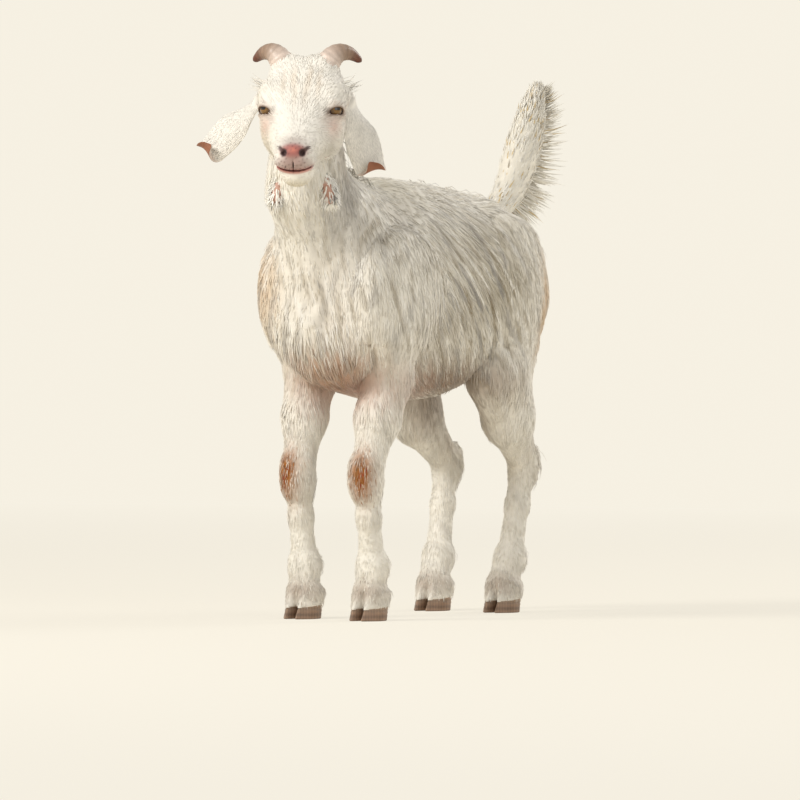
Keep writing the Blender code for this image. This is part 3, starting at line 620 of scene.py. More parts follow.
def neck_distance(p):
    return (p - NECK_HINGE) @ NECK_WAY


def beyond(d, past):
    """Ends a skin at a cut: past it, the skin sinks a hair's breadth and then stops."""
    d = d + SEAM_SINK * smooth_step(0.0, 0.0015, past)
    return smax(d, past - SEAM_OVERLAP, 0.0005)


def dress(name, points, quads, how, nodes, coats):
    """One skin and its coats of hair."""
    skin = Piece(f"{name}_skin")
    skin.add(points, quads, [], coat_colour(points) * SKIN_SHADE)
    skin.settle(COAT, how, nodes)
    for index, coat in enumerate(coats):
        piece = Piece(f"{name}_coat_{index + 1}")
        coat.grow(piece, points, quads)
        piece.settle(COAT, how)


def flank_fold(p, normal):
    """The loose hair along the fold between belly and thigh, and under the belly."""
    line = 0.300 + 0.55 * np.clip(p[:, 1] - 0.02, 0.0, 0.10)
    return (np.abs(p[:, 2] - line) < 0.014) & (p[:, 1] > -0.03) & (p[:, 1] < 0.125) & (np.abs(p[:, 0]) > 0.03)


def make_torso():
    def section(p):
        return beyond(body_field(p), neck_distance(p) - NECK_START)

    def inside(p, normal):
        return neck_distance(p) < NECK_START

    def ridge(p, normal):
        return (normal[:, 2] > 0.75) & inside(p, normal)

    coats = [Growth(7600, body_flow, 0.021, 0.00062, 0.0008, 0.075, inside)] * 3
    coats.append(Growth(6000, body_flow, 0.024, 0.0007, 0.0022, 0.12, flank_fold))
    coats.append(Growth(700, body_flow, 0.030, 0.0008, 0.0050, 0.16, ridge))
    dress("torso", *grid_mesh(section, *TRUNK_BOX, TRUNK_VOXEL), ("torso",), ["torso"], coats)


def make_neck():
    """The neck in three pieces, cut square to it."""
    for index, (a, b, nodes, (start, end), bend, short, mane) in enumerate(NECK):

        def section(p):
            d = neck_distance(p)
            return beyond(beyond(body_field(p), d - end), start - d)

        def inside(p, normal):
            d = neck_distance(p)
            return (d > start) & (d < end)

        def nape(p, normal):
            return inside(p, normal) & (normal @ NAPE_FACING > 0.75) & (np.abs(p[:, 0] - 0.01) < 0.035)

        coats = [Growth(short, body_flow, 0.013, 0.0007, 0.0008, 0.08, inside)]
        coats.append(Growth(mane, nape_flow, 0.040, 0.0009, 0.0100, 0.17, nape))
        ramp = [shifted(NECK_HINGE + NECK_WAY * s) for s in bend]
        mesh = grid_mesh(section, *NECK_BOX, TRUNK_VOXEL)
        dress(f"neck_{index + 1}", *mesh, (a, b, *ramp), nodes, coats)


# Legs, each in three stretches from the top

HAIR_LINE = 0.0165  # hair covers the claws down to here
RIM_RADIUS = 0.118  # the top stretch spreads this far over the trunk
INNER_CUT = 0.020  # no leg comes nearer to the middle plane
LEG_CUTS = 0.52, 0.5  # shares of the forearm or shank and of the cannon
LEG_BEND = 0.030, 0.020, 0.014
LEG_VOXEL = 0.0035, 0.0022, 0.0018
LEG_HAIR = (7000, 0.014, 0.0008), (2400, 0.0085, 0.0006), (1500, 0.0068, 0.00055)
LEG_FRINGE = (1700, 0.026), (1500, 0.022), (600, 0.012)


def claw_shape(p, sole, outward):
    """One claw: a wedge of horn drawn out to a blunt toe."""
    q = p - (sole + np.array((outward * 0.0122, 0.0, 0.0)))
    up = q[..., 2]
    x = q[..., 0] * outward
    rise = np.clip(up / 0.040, 0, 1)
    y = q[..., 1] - 0.0135 * rise
    half = 0.0265 - 0.0095 * rise
    toe = smooth_step(0.008, -0.026, y)
    wide = (0.0116 - 0.0018 * rise) * (1 - 0.55 * toe ** 2)
    shift = x + 0.0038 * toe - 0.0010 * rise
    d = (np.sqrt((shift / wide) ** 2 + np.abs(y / half) ** 2.4) - 1) * 0.0105
    return smax(d, up - 0.0370 - 0.10 * y, 0.010)


def leg_skin(p, end, sign):
    """A whole leg, its top laid over the trunk and sunk into it at the rim."""
    top = leg_joints(end, sign)[0][0]
    skin = leg_field(p, end, sign)
    away = np.hypot(p[..., 1] - top[1], p[..., 2] - top[2])
    upper = smooth_step(0.36, 0.42, p[..., 2])
    out = p[..., 0] * sign
    thinned = np.maximum(smooth_step(0.078, RIM_RADIUS, away), smooth_step(0.060, 0.036, out))
    skin = skin + 0.06 * upper * thinned
    sunk = 0.0012 + 0.009 * smooth_step(0.090, RIM_RADIUS, away)
    over = smin(torso_field(p) + sunk, skin, 0.030)
    near_torso = smax(over, away - RIM_RADIUS, 0.002)
    d = np.where(p[..., 2] < 0.36, skin, np.minimum(near_torso, skin))
    return np.maximum(d, INNER_CUT + 0.022 * upper - out)


def make_leg(end, side, sign):
    leg = f"{end}_{side}"
    (top, middle, low, fetlock), sole = leg_joints(end, sign)
    upper, limb = ("shoulder", "forearm") if end == "fore" else ("thigh", "shank")
    bodies = [f"{leg}_{name}" for name in (upper, limb, "cannon", "foot")]
    joints = (middle, low, fetlock)
    bones = [top, middle, low, fetlock, sole + (0, CORONET_BACK, 0.038)]
    cuts = [a + (b - a) * share for a, b, share in zip((middle, low), (low, fetlock), LEG_CUTS)]
    ways = [unit(low - middle), unit(fetlock - low)]
    foot = sole + (0, CORONET_BACK, 0.022)
    boxes = [(np.minimum(top - 0.13, cuts[0] - 0.06), np.maximum(top + 0.13, cuts[0] + 0.06))]
    boxes[0][0][2] = cuts[0][2] - 0.04
    boxes += [(np.minimum(a, b) - 0.045, np.maximum(a, b) + 0.045) for a, b in zip(cuts, (cuts[1], foot))]
    replaced = ([bodies[0]], [bodies[1]], [bodies[2], bodies[3]])

    for index, joint in enumerate(joints):

        def section(p):
            d = leg_skin(p, end, sign)
            if index > 0:
                d = beyond(d, -plane_field(p, cuts[index - 1], ways[index - 1]))
            if index < 2:
                return beyond(d, plane_field(p, cuts[index], ways[index]))
            toes = smin(claw_shape(p, sole, 1.0), claw_shape(p, sole, -1.0), 0.003) - 0.0013
            d = smin(d, toes, 0.014)
            return smax(d, HAIR_LINE + 0.12 * (p[..., 1] - sole[1]) - p[..., 2], 0.0015)

        def inside(p, normal):
            good = torso_field(p) > -0.0120
            if index > 0:
                good &= plane_field(p, cuts[index - 1], ways[index - 1]) > 0
            if index < 2:
                return good & (plane_field(p, cuts[index], ways[index]) < 0)
            return good & (p[:, 2] > HAIR_LINE + 0.004)

        def fringe(p, normal):
            return inside(p, normal) & (np.abs(p[:, 2] - joint[2]) < 0.030) & (normal[:, 1] > 0.55)

        count, length, width = LEG_HAIR[index]
        coats = [Growth(count, leg_flow, length, width, 0.0007, 0.08, inside, 0.55)]
        count, length = LEG_FRINGE[index]
        coats.append(Growth(count, leg_flow, length, 0.0006, 0.0026, 0.16, fringe, 0.7))
        before, after = bones[index + 1] - bones[index], bones[index + 2] - bones[index + 1]
        reach = unit(unit(before) + unit(after)) * LEG_BEND[index]
        ramp = shifted(joint - reach), shifted(joint + reach)
        mesh = grid_mesh(section, *boxes[index], LEG_VOXEL[index])
        dress(f"{leg}_{index + 1}", *mesh, (bodies[index], bodies[index + 1], *ramp), replaced[index], coats)


# Hooves

CLAW_VOXEL = 0.0012
DEWCLAW_OUT = 0.0085
DEWCLAW_SIZE = (0.0046, 0.0060, 0.0088)


def claw_tint(points):
    """Brown horn in rings and streaks, paler towards the hair."""
    streak = np.sin(points[:, 1] * 900 + points[:, 0] * 1400) * 0.12
    tint = np.array((0.23, 0.145, 0.095)) * (0.9 + 0.20 * np.sin(points[:, 2] * 800) + streak)[:, None]
    pale = (smooth_step(0.30, 1.0, points[:, 2] / 0.024) * (0.85 + streak))[:, None]
    return tint * (1 - pale) + np.array((0.42, 0.31, 0.22)) * pale


def make_hooves(end, side, sign):
    leg = f"{end}_{side}"
    (*_, fetlock), sole = leg_joints(end, sign)
    for place, outward in (("outer", sign), ("inner", -sign)):

        def claw(p):
            """The claw with its growth rings, flat below."""
            up = p[..., 2]
            rings = 0.0003 * np.sin(up * 1300.0) * smooth_step(0.003, 0.012, up)
            return np.maximum(claw_shape(p, sole, outward) - rings, -up)

        low = sole + np.array((min(0.0, outward) * 0.028 - 0.002, -0.034, -0.004))
        high = sole + np.array((max(0.0, outward) * 0.028 + 0.002, 0.045, 0.052))
        points, quads = grid_mesh(claw, low, high, CLAW_VOXEL)
        points[:, 2] = np.maximum(points[:, 2], 0.0)
        piece = Piece(f"{leg}_{place}_hoof")
        piece.add(points, quads, [], claw_tint(points))
        piece.settle(HOOF_HORN, (f"{leg}_foot",), [f"{leg}_{place}_claw"])
    dewclaws = Piece(f"{leg}_dewclaws")
    for out in (-DEWCLAW_OUT, DEWCLAW_OUT):
        at = fetlock + np.array((out, 0.0185, -0.010))

        def dewclaw(p):
            return ellipsoid(p, at, DEWCLAW_SIZE)

        points, quads = grid_mesh(dewclaw, at - 0.012, at + 0.012, 0.0011)
        dewclaws.add(points, quads, [], np.array((0.20, 0.13, 0.085)))
    dewclaws.settle(HOOF_HORN, (f"{leg}_foot",))


# Head, in forward, out and up from the poll

# Each row of the skull: forward, middle height, half width and half height
SKULL = np.array([
    (-0.036, 0.050, 0.0120, 0.012),
    (-0.028, 0.048, 0.0370, 0.034),
    (0.000, 0.042, 0.0480, 0.053),
    (0.030, 0.036, 0.0540, 0.060),
    (0.055, 0.020, 0.0525, 0.053),
    (0.080, 0.002, 0.0425, 0.040),
    (0.105, -0.0155, 0.0310, 0.0300),
    (0.126, -0.0270, 0.0250, 0.0225),
    (0.139, -0.0325, 0.0210, 0.0170),
    (0.147, -0.0350, 0.0110, 0.0085),
])
SKULL_SQUARE = 2.3  # 2 is an ellipse
JAW = (0.040, 0, -0.020), (0.073, 0, -0.040), (0.102, 0, -0.0510), (0.118, 0, -0.0555)
JAW_RADII = 0.026, 0.021, 0.0155, 0.0110
CHIN = (0.102, 0, -0.0520), (0.121, 0, -0.0570)
CHIN_RADII = 0.0125, 0.0098
CHIN_WIDE = 1.45
NOSE = (0.138, 0, -0.0250), (0.0110, 0.0172, 0.0115)
# On the left of the face: brow, cheek, lip, root of the ear and root of the horn, and how softly each joins
FACE_FORMS = (
    ((0.050, 0.039, 0.048), (0.0160,), 0.018),
    ((0.030, 0.032, -0.002), (0.034, 0.019, 0.030), 0.016),
    ((0.123, 0.0125, -0.0395), (0.0195, 0.0125, 0.0115), 0.008),
    ((0.016, 0.050, 0.045), (0.0125,), 0.014),
    ((0.019, 0.024, 0.084), (0.0170,), 0.014),
)
EYE_AT = np.array((0.060, 0.0410, 0.030))
EYE_RADIUS = 0.0125
LID_RADIUS = 0.0152
LID_GAP = 0.0003
LID_SIZE = 0.014, 0.0120, 0.0047  # depth, half width and half height of the opening
GAZE = unit(np.array((0.78, 0.62, 0.06)))
MOUTH_BACK = np.array((0.050, -0.032))
MOUTH_FRONT = np.array((0.150, -0.0530))
MOUTH_FLESH = np.array((0.36, 0.12, 0.11))
JAW_BACK = 0.046
JAW_BEND = 0.058, 0.092
NOSTRIL = np.array((0.1455, 0.0120, -0.0270))
NOSTRIL_SIZE = (0.0060, 0.0036, 0.0040)
FACE_BOX = (-0.055, -0.075, -0.095), (0.165, 0.075, 0.122)
FACE_VOXEL = 0.0016
FRECKLE_COUNT = 46
FRECKLE_TURN = 2.39996


def on_head(points):
    """Moves points from the head's own measure to the goat's."""
    local = np.stack((points[:, 1], -points[:, 0], points[:, 2]), axis=1) + (POLL - TURN)
    return local @ HEAD_TURN.T + TURN


def head_way(vectors):
    return np.stack((vectors[:, 1], -vectors[:, 0], vectors[:, 2]), axis=1) @ HEAD_TURN.T


def mouth_height(p):
    """Height over the line between the lips, which rises a little at its corners."""
    line = MOUTH_FRONT - MOUTH_BACK
    normal = np.array((-line[1], line[0])) / np.hypot(*line)
    flat = (p[..., 0] - MOUTH_BACK[0]) * normal[0] + (p[..., 2] - MOUTH_BACK[1]) * normal[1]
    return flat - 9.0 * np.minimum(p[..., 1] ** 2, 0.0005)


def eye_frame(sign):
    gaze = GAZE * (1, sign, 1)
    up = unit(np.array((0.0, 0.0, 1.0)) - gaze * gaze[2])
    return gaze, np.cross(up, gaze), up


def eye_opening(p, sign):
    gaze, side, up = eye_frame(sign)
    q = p - (EYE_AT * (1, sign, 1) + gaze * 0.0125 - up * 0.0026)
    deep, wide, high = LID_SIZE
    q = np.stack((q @ gaze / deep, q @ side / wide, (q @ up + 16.0 * (q @ side) ** 2) / high), axis=-1)
    return (np.linalg.norm(q, axis=-1) - 1.0) * 0.0064


def nostril(p, sign):
    return ellipsoid(p, NOSTRIL * (1, sign, 1), NOSTRIL_SIZE)


def nostril_slit(p, sign):
    return cone(p, (0.1445, 0.0135 * sign, -0.0250), (0.1360, 0.0195 * sign, -0.0190), 0.0018, 0.0010)


def face_field(p):
    f, l, u = p[..., 0], p[..., 1], p[..., 2]
    middle, half, high = (curve_through(f, SKULL[:, 0], SKULL[:, i]) for i in (1, 2, 3))
    half, high = np.maximum(half, 0.003), np.maximum(high, 0.003)
    q = (np.abs(l / half) ** SKULL_SQUARE + np.abs((u - middle) / high) ** SKULL_SQUARE) ** (1 / SKULL_SQUARE)
    d = np.maximum((q - 1) * np.minimum(half, high), np.maximum(SKULL[0, 0] - f, f - SKULL[-1, 0]))
    d = smin(d, chain(p, JAW, JAW_RADII, 0.012), 0.012)
    d = smin(d, chain(p / np.array((1.0, CHIN_WIDE, 1.0)), CHIN, CHIN_RADII, 0.01), 0.010)
    d = smin(d, ellipsoid(p, *NOSE), 0.006)
    for sign in BOTH:
        for (forward, out, up), size, soft in FACE_FORMS:
            centre = (forward, out * sign, up)
            form = ball(p, centre, *size) if len(size) == 1 else ellipsoid(p, centre, size)
            d = smin(d, form, soft)
        eye = EYE_AT * (1, sign, 1)
        d = smin(d, ball(p, eye, LID_RADIUS), 0.006)
        d = smax(d, -eye_opening(p, sign), 0.0020)
        d = smax(d, -ball(p, eye, EYE_RADIUS + LID_GAP), 0.0008)
        d = smax(d, -nostril(p, sign), 0.0025)
        d = smax(d, -nostril_slit(p, sign), 0.0025)
    groove = np.hypot(l, (u + 0.0435) * 0.20) - 0.0010
    d = smax(d, -np.maximum(groove, 0.134 - f), 0.002)
    lips = np.maximum(np.abs(mouth_height(p)) - 0.0009, 0.1195 - f)
    return smax(d, -np.maximum(lips, -d - 0.0035), 0.0015)


def face_tint(p):
    """White face, pink nose with dark freckles, red lips, dark lids, warm shade under the eyes, grey painted
    shade on the left cheek and muzzle, a painted highlight on the nose and painted shade in the nostrils.
    """
    f, l, u = p[:, 0], p[:, 1], p[:, 2]
    colour = np.broadcast_to(np.array((0.85, 0.82, 0.76)), p.shape).copy()

    def tone(amount, rgb):
        nonlocal colour
        colour = colour + (np.array(rgb) - colour) * np.clip(amount, 0, 1)[:, None]

    def spot(strength, centre, radii, rgb, sharp=1.0):
        tone(strength * np.exp(-(np.sum(((p - centre) / radii) ** 2, axis=1) ** sharp)), rgb)

    def around(strength, distance, width, rgb):
        tone(strength * np.exp(-(np.maximum(distance, 0) / width) ** 2), rgb)

    for sign in BOTH:
        # On the left side the temple and cheek take grey painted shade; on the right they are tan
        temple, cheek = (GREY, GREY) if sign > 0 else ((0.6, 0.52, 0.38), (0.55, 0.45, 0.28))
        spot(0.60, (0.045, 0.056 * sign, 0.030), (0.02, 0.016, 0.026), temple)
        spot(0.60, (0.078, 0.046 * sign, 0.008), (0.018, 0.014, 0.014), ROSE)
        spot(0.45, (0.070, 0.046 * sign, -0.025), (0.03, 0.02, 0.03), cheek)
        spot(0.75, (0.022, 0.056 * sign, 0.020), (0.014, 0.010, 0.014), (0.48, 0.20, 0.09))
        rim = eye_opening(p, sign)
        around(1.2, rim, 0.0026, (0.055, 0.035, 0.030))
        around(0.55, rim, 0.0075, (0.40, 0.29, 0.22))
        corner = EYE_AT * (1, sign, 1) + (0.016, -0.0085 * sign, -0.003)
        spot(0.9, corner, (0.006, 0.006, 0.0035), (0.10, 0.07, 0.06))
        for out, up in ((0.010, 0.070), (0.022, 0.062), (0.006, 0.045)):
            spot(0.22, (0.06, out * sign, up), (0.03, 0.0035, 0.018), OCHRE)
    spot(0.60, (0.134, 0.0, -0.014), (0.02, 0.017, 0.009), (0.30, 0.22, 0.19))
    heart_wide = 0.0186 - 0.10 * np.clip(-0.0245 - u, 0.0, 0.02)
    heart = np.exp(-((l / heart_wide) ** 2 + ((u + 0.0250) / 0.0105) ** 2) ** 3)
    tone(heart * smooth_step(0.125, 0.134, f), (0.33, 0.105, 0.095))
    # Painted highlight on the tip of the nose
    spot(0.60, (0.147, 0.0, -0.0235), (0.009, 0.0060, 0.0034), (0.66, 0.23, 0.16))
    spot(0.85, (0.140, 0.0, -0.0405), (0.026, 0.0235, 0.0115), (0.30, 0.165, 0.14), 2.0)
    lips = np.exp(-(mouth_height(p) / 0.0034) ** 2) * smooth_step(0.117, 0.126, f)
    tone(0.95 * lips, (0.30, 0.07, 0.055))
    lower_lip = 0.6 * np.exp(-((mouth_height(p) + 0.0032) / 0.0016) ** 2)
    tone(lower_lip * smooth_step(0.120, 0.128, f), (0.55, 0.14, 0.10))
    spot(0.55, (0.100, 0.0, -0.070), (0.05, 0.03, 0.010), (0.46, 0.37, 0.16))
    # Painted shade: grey and olive down the left side of the muzzle
    spot(0.60, (0.110, 0.030, -0.040), (0.03, 0.012, 0.024), GREY)
    spot(0.60, (0.080, 0.043, -0.036), (0.026, 0.014, 0.020), (0.30, 0.27, 0.20))
    # Painted shade inside the nostrils and their slits
    for sign in BOTH:
        around(1.0, nostril(p, sign), 0.0014, (0.045, 0.015, 0.015))
        around(0.9, nostril_slit(p, sign), 0.0012, (0.06, 0.02, 0.02))
    front = smooth_step(0.118, 0.126, f)
    for index in range(FRECKLE_COUNT):
        turn, reach = index * FRECKLE_TURN, 0.0040 + 0.0135 * math.sqrt(index / FRECKLE_COUNT)
        across, height = reach * math.cos(turn) * 1.15, -0.0330 + reach * math.sin(turn) * 1.15
        close = np.exp(-((l - across) ** 2 + (u - height) ** 2) / 0.00085 ** 2) * front
        tone(0.85 * close, (0.09, 0.045, 0.04))
    return colour


def face_flow(p):
    """Hair runs up the face from the nose, parts on the brow and lies back along the cheeks."""
    part = np.sign(p[:, 1]) * smooth_step(0.0, 0.02, np.abs(p[:, 1]))
    rise = smooth_step(-0.02, 0.05, p[:, 2])
    return columns(-0.9, 0.55 * part, 0.9 * rise - 0.5 * (1 - rise))


def bare_face(p):
    """Where the face has no hair: nose, lips and lids."""
    nose = np.sum(((p - (0.145, 0.0, -0.0280)) / (0.018, 0.021, 0.0175)) ** 2, axis=1) < 1.0
    lips = (np.abs(mouth_height(p)) < 0.0045) & (p[:, 0] > 0.104)
    return nose | lips | (eye_opening(p, 1) < 0.0022) | (eye_opening(p, -1) < 0.0022)


def add_head_locks(piece, base, normal, way, length, width, lift, droop, tint):
    piece.add_locks(on_head(base), head_way(normal), head_way(way), length, width, lift, droop, tint)


def make_face():
    """The head and the lower jaw, parted between the lips and behind the jaw."""
    jaw_ramp = [shifted(head_point(forward, 0.0, -0.045)) for forward in JAW_BEND]
    for name, upper, count in (("head", True, 6500), ("lower_jaw", False, 1300)):
        toward = -1.0 if upper else 1.0

        def section(p):
            past = np.where(p[..., 0] < JAW_BACK, toward, mouth_height(p) * toward)
            return beyond(face_field(p), past)

        points, quads = grid_mesh(section, *FACE_BOX, FACE_VOXEL)
        place, normal = surface_samples(points, quads, count)
        own = np.where(place[:, 0] < JAW_BACK, upper, (mouth_height(place) > 0) == upper)
        good = ~bare_face(place) & own
        place, normal = place[good], normal[good]
        way = lay(face_flow(place), normal, 0.10)
        short = np.where(place[:, 0] > 0.10, 0.55, 1.0)
        length = 0.0090 * short * (0.6 + 0.8 * RNG.random(len(place)))
        tone = np.minimum(face_tint(place) * (0.90 + 0.18 * RNG.random((len(place), 1))), 0.93)
        coat = Piece(f"{name}_coat_1")
        add_head_locks(coat, place, normal, way, length, 0.00065, 0.0007, 0.0006, tone)
        tint = face_tint(points)
        inner = smooth_step(0.0008, 0.0020, mouth_height(points) * toward) * (points[:, 0] > JAW_BACK)
        skin = Piece(f"{name}_skin")
        skin.add(on_head(points), quads, [], tint + (MOUTH_FLESH - tint) * inner[:, None])
        how = ("head",) if upper else ("head", "lower_jaw", *jaw_ramp)
        skin.settle(COAT, how, [name])
        coat.settle(COAT, how)


def ring_faces(rows, around):
    """Quads between rings of vertices and a fan at each end, whose middles are the last two vertices."""
    ring = np.arange(around)
    after = (ring + 1) % around
    start = (np.arange(rows - 1) * around)[:, None]
    quads = np.stack((start + ring, start + after, start + around + after, start + around + ring), axis=-1)
    last = (rows - 1) * around
    middle = np.full(around, rows * around)
    fans = (np.stack((after, ring, middle), 1), np.stack((last + ring, last + after, middle + 1), 1))
    return quads.reshape(-1, 4), np.concatenate(fans)


def tube(piece, path, radii, tint, sides=24, squash=1.0):
    """A closed tube through a path of points, with a fan at both ends."""
    ways = unit(np.gradient(path, axis=0))
    across = np.cross(ways[0], (0.0, 1.0, 0.0))
    if np.linalg.norm(across) < 1e-3:
        across = np.cross(ways[0], (1.0, 0.0, 0.0))
    rows = []
    angles = (np.arange(sides) * 2 * math.pi / sides)[:, None]
    for point, way, radius in zip(path, ways, radii):
        across = unit(across - way * (across @ way))
        other = np.cross(way, across)
        rows.append(point + radius * (np.cos(angles) * across + np.sin(angles) * other * squash))
    verts = np.concatenate(rows + [path[:1], path[-1:]])
    tones = np.concatenate((np.repeat(tint, sides, axis=0), tint[:1], tint[-1:]))
    piece.add(verts, *ring_faces(len(path), sides), tones)


def along(points, count):
    """Evenly stepped points on a smooth path."""
    points = np.asarray(points, float)
    steps, places = np.linspace(0, len(points) - 1, count), np.arange(len(points))
    return np.stack([curve_through(steps, places, values) for values in points.T], axis=1)


# Each row of a horn: forward, out, up and radius
HORN_PATH = (
    (0.022, 0.0235, 0.070, 0.0165),
    (0.019, 0.0300, 0.091, 0.0160),
    (0.012, 0.0420, 0.1035, 0.0128),
    (0.002, 0.0560, 0.1035, 0.0090),
    (-0.007, 0.0705, 0.0935, 0.0036),
)
HORN_RIDGES = 11
HORN_BASE, HORN_MIDDLE, HORN_TIP = np.array(((0.72, 0.60, 0.53), (0.30, 0.20, 0.14), (0.13, 0.035, 0.015)))


def make_horns():
    for side, sign in SIDES.items():
        path = along(HORN_PATH, 72)
        share = np.linspace(0, 1, len(path))
        ridge = np.sin(share * 2 * math.pi * HORN_RIDGES)
        radii = path[:, 3] * (1 + 0.035 * ridge * (1 - share))
        radii[-4:] *= np.array((0.95, 0.85, 0.65, 0.35))
        warm = smooth_step(0.22, 0.62, share)[:, None]
        dark = smooth_step(0.60, 0.95, share)[:, None]
        tint = (HORN_BASE * (1 - warm) + HORN_MIDDLE * warm) * (1 - dark) + HORN_TIP * dark
        tint = tint * (1 - 0.10 * (ridge < 0))[:, None]
        piece = Piece(f"horn_{side}_shell")
        tube(piece, on_head(path[:, :3] * (1, sign, 1)), radii, tint)
        piece.settle(HORN_SHELL, ("head",), [f"horn_{side}"])


EYE_ROWS, EYE_AROUND = 47, 96
IRIS, IRIS_EDGE, EYE_WHITE, PUPIL = np.array((
    (0.25, 0.13, 0.028), (0.15, 0.08, 0.026), (0.09, 0.06, 0.05), (0.006, 0.005, 0.005),
))


def make_eyes():
    for side, sign in SIDES.items():
        theta = np.linspace(0, math.pi, EYE_ROWS + 2)[1:-1]
        phi = np.arange(EYE_AROUND) * 2 * math.pi / EYE_AROUND
        t, a = np.meshgrid(theta, phi, indexing="ij")
        local = columns(np.cos(t), np.sin(t) * np.cos(a), np.sin(t) * np.sin(a)).reshape(-1, 3)
        local = np.concatenate((local, ((1.0, 0, 0), (-1.0, 0, 0))))
        slant = np.arccos(np.clip(local[:, 0], -1, 1))
        bulge = 1 + 0.03 * np.exp(-(slant / 0.5) ** 2)
        place = (local * bulge[:, None]) @ np.stack(eye_frame(sign)) * EYE_RADIUS + EYE_AT * (1, sign, 1)
        pupil = (np.abs(local[:, 1]) / 0.34) ** 4 + (np.abs(local[:, 2]) / 0.15) ** 4 < 1
        spoke = 0.85 + 0.15 * np.sin(np.arctan2(local[:, 2], local[:, 1]) * 23)
        tint = IRIS * spoke[:, None]
        pupil &= local[:, 0] > 0
        for chosen, tone in ((slant > 0.52, IRIS_EDGE), (slant > 0.72, EYE_WHITE), (pupil, PUPIL)):
            tint = np.where(chosen[:, None], tone, tint)
        quads, fans = ring_faces(EYE_ROWS, EYE_AROUND)
        piece = Piece(f"eye_{side}_ball")
        piece.add(on_head(place), quads[:, [0, 3, 2, 1]], fans[:, [1, 0, 2]], tint)
        piece.settle(EYE_GLOSS, (f"eye_{side}",), [f"eye_{side}"])


EAR_ROOT = np.array((0.018, 0.0585, 0.044))
EAR_LENGTH = 0.114
EAR_STRAIGHT = 0.090  # below this the tip rolls up
EAR_ROLL = 0.0072
EAR_SPREAD = {"left": math.radians(18), "right": math.radians(44)}
EAR_HALF = (0.0, 0.12, 0.38, 0.70, 0.90, 1.0), (0.0120, 0.0165, 0.0225, 0.0230, 0.0200, 0.0140)
EAR_ROWS, EAR_ACROSS = 84, 30
EAR_THICK = 0.0014
EAR_COAT, EAR_LINING, EAR_TUFT = 2600, 1100, 26  # locks outside, inside and at the root


def ear_surface(side, t, w, thick):
    """A hanging leaf that turns to face forward and rolls up at its tip. t runs down it and w across."""
    spread = EAR_SPREAD[side]
    turn = (math.radians(20) + math.radians(40) * smooth_step(0.04, 0.46, t))[..., None]
    down = np.array((0.0, math.sin(spread), -math.cos(spread)))
    out = np.array((0.0, math.cos(spread), math.sin(spread)))
    ahead = np.array((1.0, 0.0, 0.0))
    across = -np.cos(turn) * ahead + np.sin(turn) * out
    face = np.cos(turn) * out + np.sin(turn) * ahead
    run = t * EAR_LENGTH
    angle = np.clip((run - EAR_STRAIGHT) / EAR_ROLL, 0.0, None) * (1 - 0.22 * w) * (1 - 0.35 * np.abs(w) ** 3)
    reach = (np.minimum(run, EAR_STRAIGHT) + EAR_ROLL * np.sin(angle))[..., None]
    rise = (EAR_ROLL * (1 - np.cos(angle)))[..., None]
    normal = np.cos(angle)[..., None] * face - np.sin(angle)[..., None] * down
    half = curve_through(t, *EAR_HALF)
    wave = 0.0016 * np.sin(t * 11.0 + 2.0 * w) * np.abs(w) ** 2
    cup = -0.28 * half * w * w + 0.0040 * np.sin(t * math.pi) + wave
    place = EAR_ROOT + reach * down + rise * face + (half * w)[..., None] * across
    return (place + (cup + thick)[..., None] * normal) * np.array((1.0, SIDES[side], 1.0))


def ear_faces():
    """Quads of the leaf's outer face, its inner face and the wall between them."""
    count = EAR_ROWS * EAR_ACROSS
    i, j = np.meshgrid(np.arange(EAR_ROWS - 1), np.arange(EAR_ACROSS - 1), indexing="ij")
    a = (i * EAR_ACROSS + j).ravel()
    face = np.stack((a, a + 1, a + EAR_ACROSS + 1, a + EAR_ACROSS), 1)
    rim = np.concatenate((
        np.arange(EAR_ACROSS), np.arange(1, EAR_ROWS) * EAR_ACROSS + EAR_ACROSS - 1,
        (EAR_ROWS - 1) * EAR_ACROSS + np.arange(EAR_ACROSS - 2, -1, -1),
        np.arange(EAR_ROWS - 2, 0, -1) * EAR_ACROSS,
    ))
    wall = np.stack((rim, np.roll(rim, -1), np.roll(rim, -1) + count, rim + count), 1)
    return np.concatenate((face[:, ::-1], face + count, wall))


def ear_tints(t, w):
    """White outside with a rosy tip, and warm flesh inside with a pale edge."""
    shade, rosy, rose, edge = (v.reshape(-1, 1) for v in (
        0.9 + 0.1 * np.sin(t * 30 + w * 4),
        0.45 * smooth_step(0.72, 0.95, t),
        0.5 * smooth_step(0.80, 0.45, t),
        smooth_step(0.55, 0.98, np.abs(w)) * smooth_step(0.86, 0.70, t),
    ))
    white = np.array((0.84, 0.81, 0.75)) * shade * (1 - rosy) + np.array((0.60, 0.40, 0.32)) * rosy
    warm = np.array((0.27, 0.095, 0.04))
    warm = warm + (np.array((0.50, 0.27, 0.20)) - warm) * rose
    warm = warm + (np.array((0.80, 0.76, 0.70)) - warm) * edge
    return np.concatenate((white, warm * shade))


def edge_thick(w):
    return 1 - np.abs(w) ** 6


def make_ears():
    t, w = np.meshgrid(np.linspace(0, 1, EAR_ROWS), np.linspace(-1, 1, EAR_ACROSS), indexing="ij")
    thick = EAR_THICK * edge_thick(w) + 0.0060 * np.exp(-(t / 0.08) ** 2) * (1 - w * w)
    for side, sign in SIDES.items():
        leaf = Piece(f"ear_{side}_leaf")
        faces = [ear_surface(side, t, w, at).reshape(-1, 3) for at in (thick, -thick - 0.0004)]
        quads = ear_faces()
        leaf.add(on_head(np.concatenate(faces)), quads if sign > 0 else quads[:, ::-1], [], ear_tints(t, w))
        leaf.settle(COAT, (f"ear_{side}",), [f"ear_{side}"])
        make_ear_hair(side)
        make_ear_tuft(side, sign)


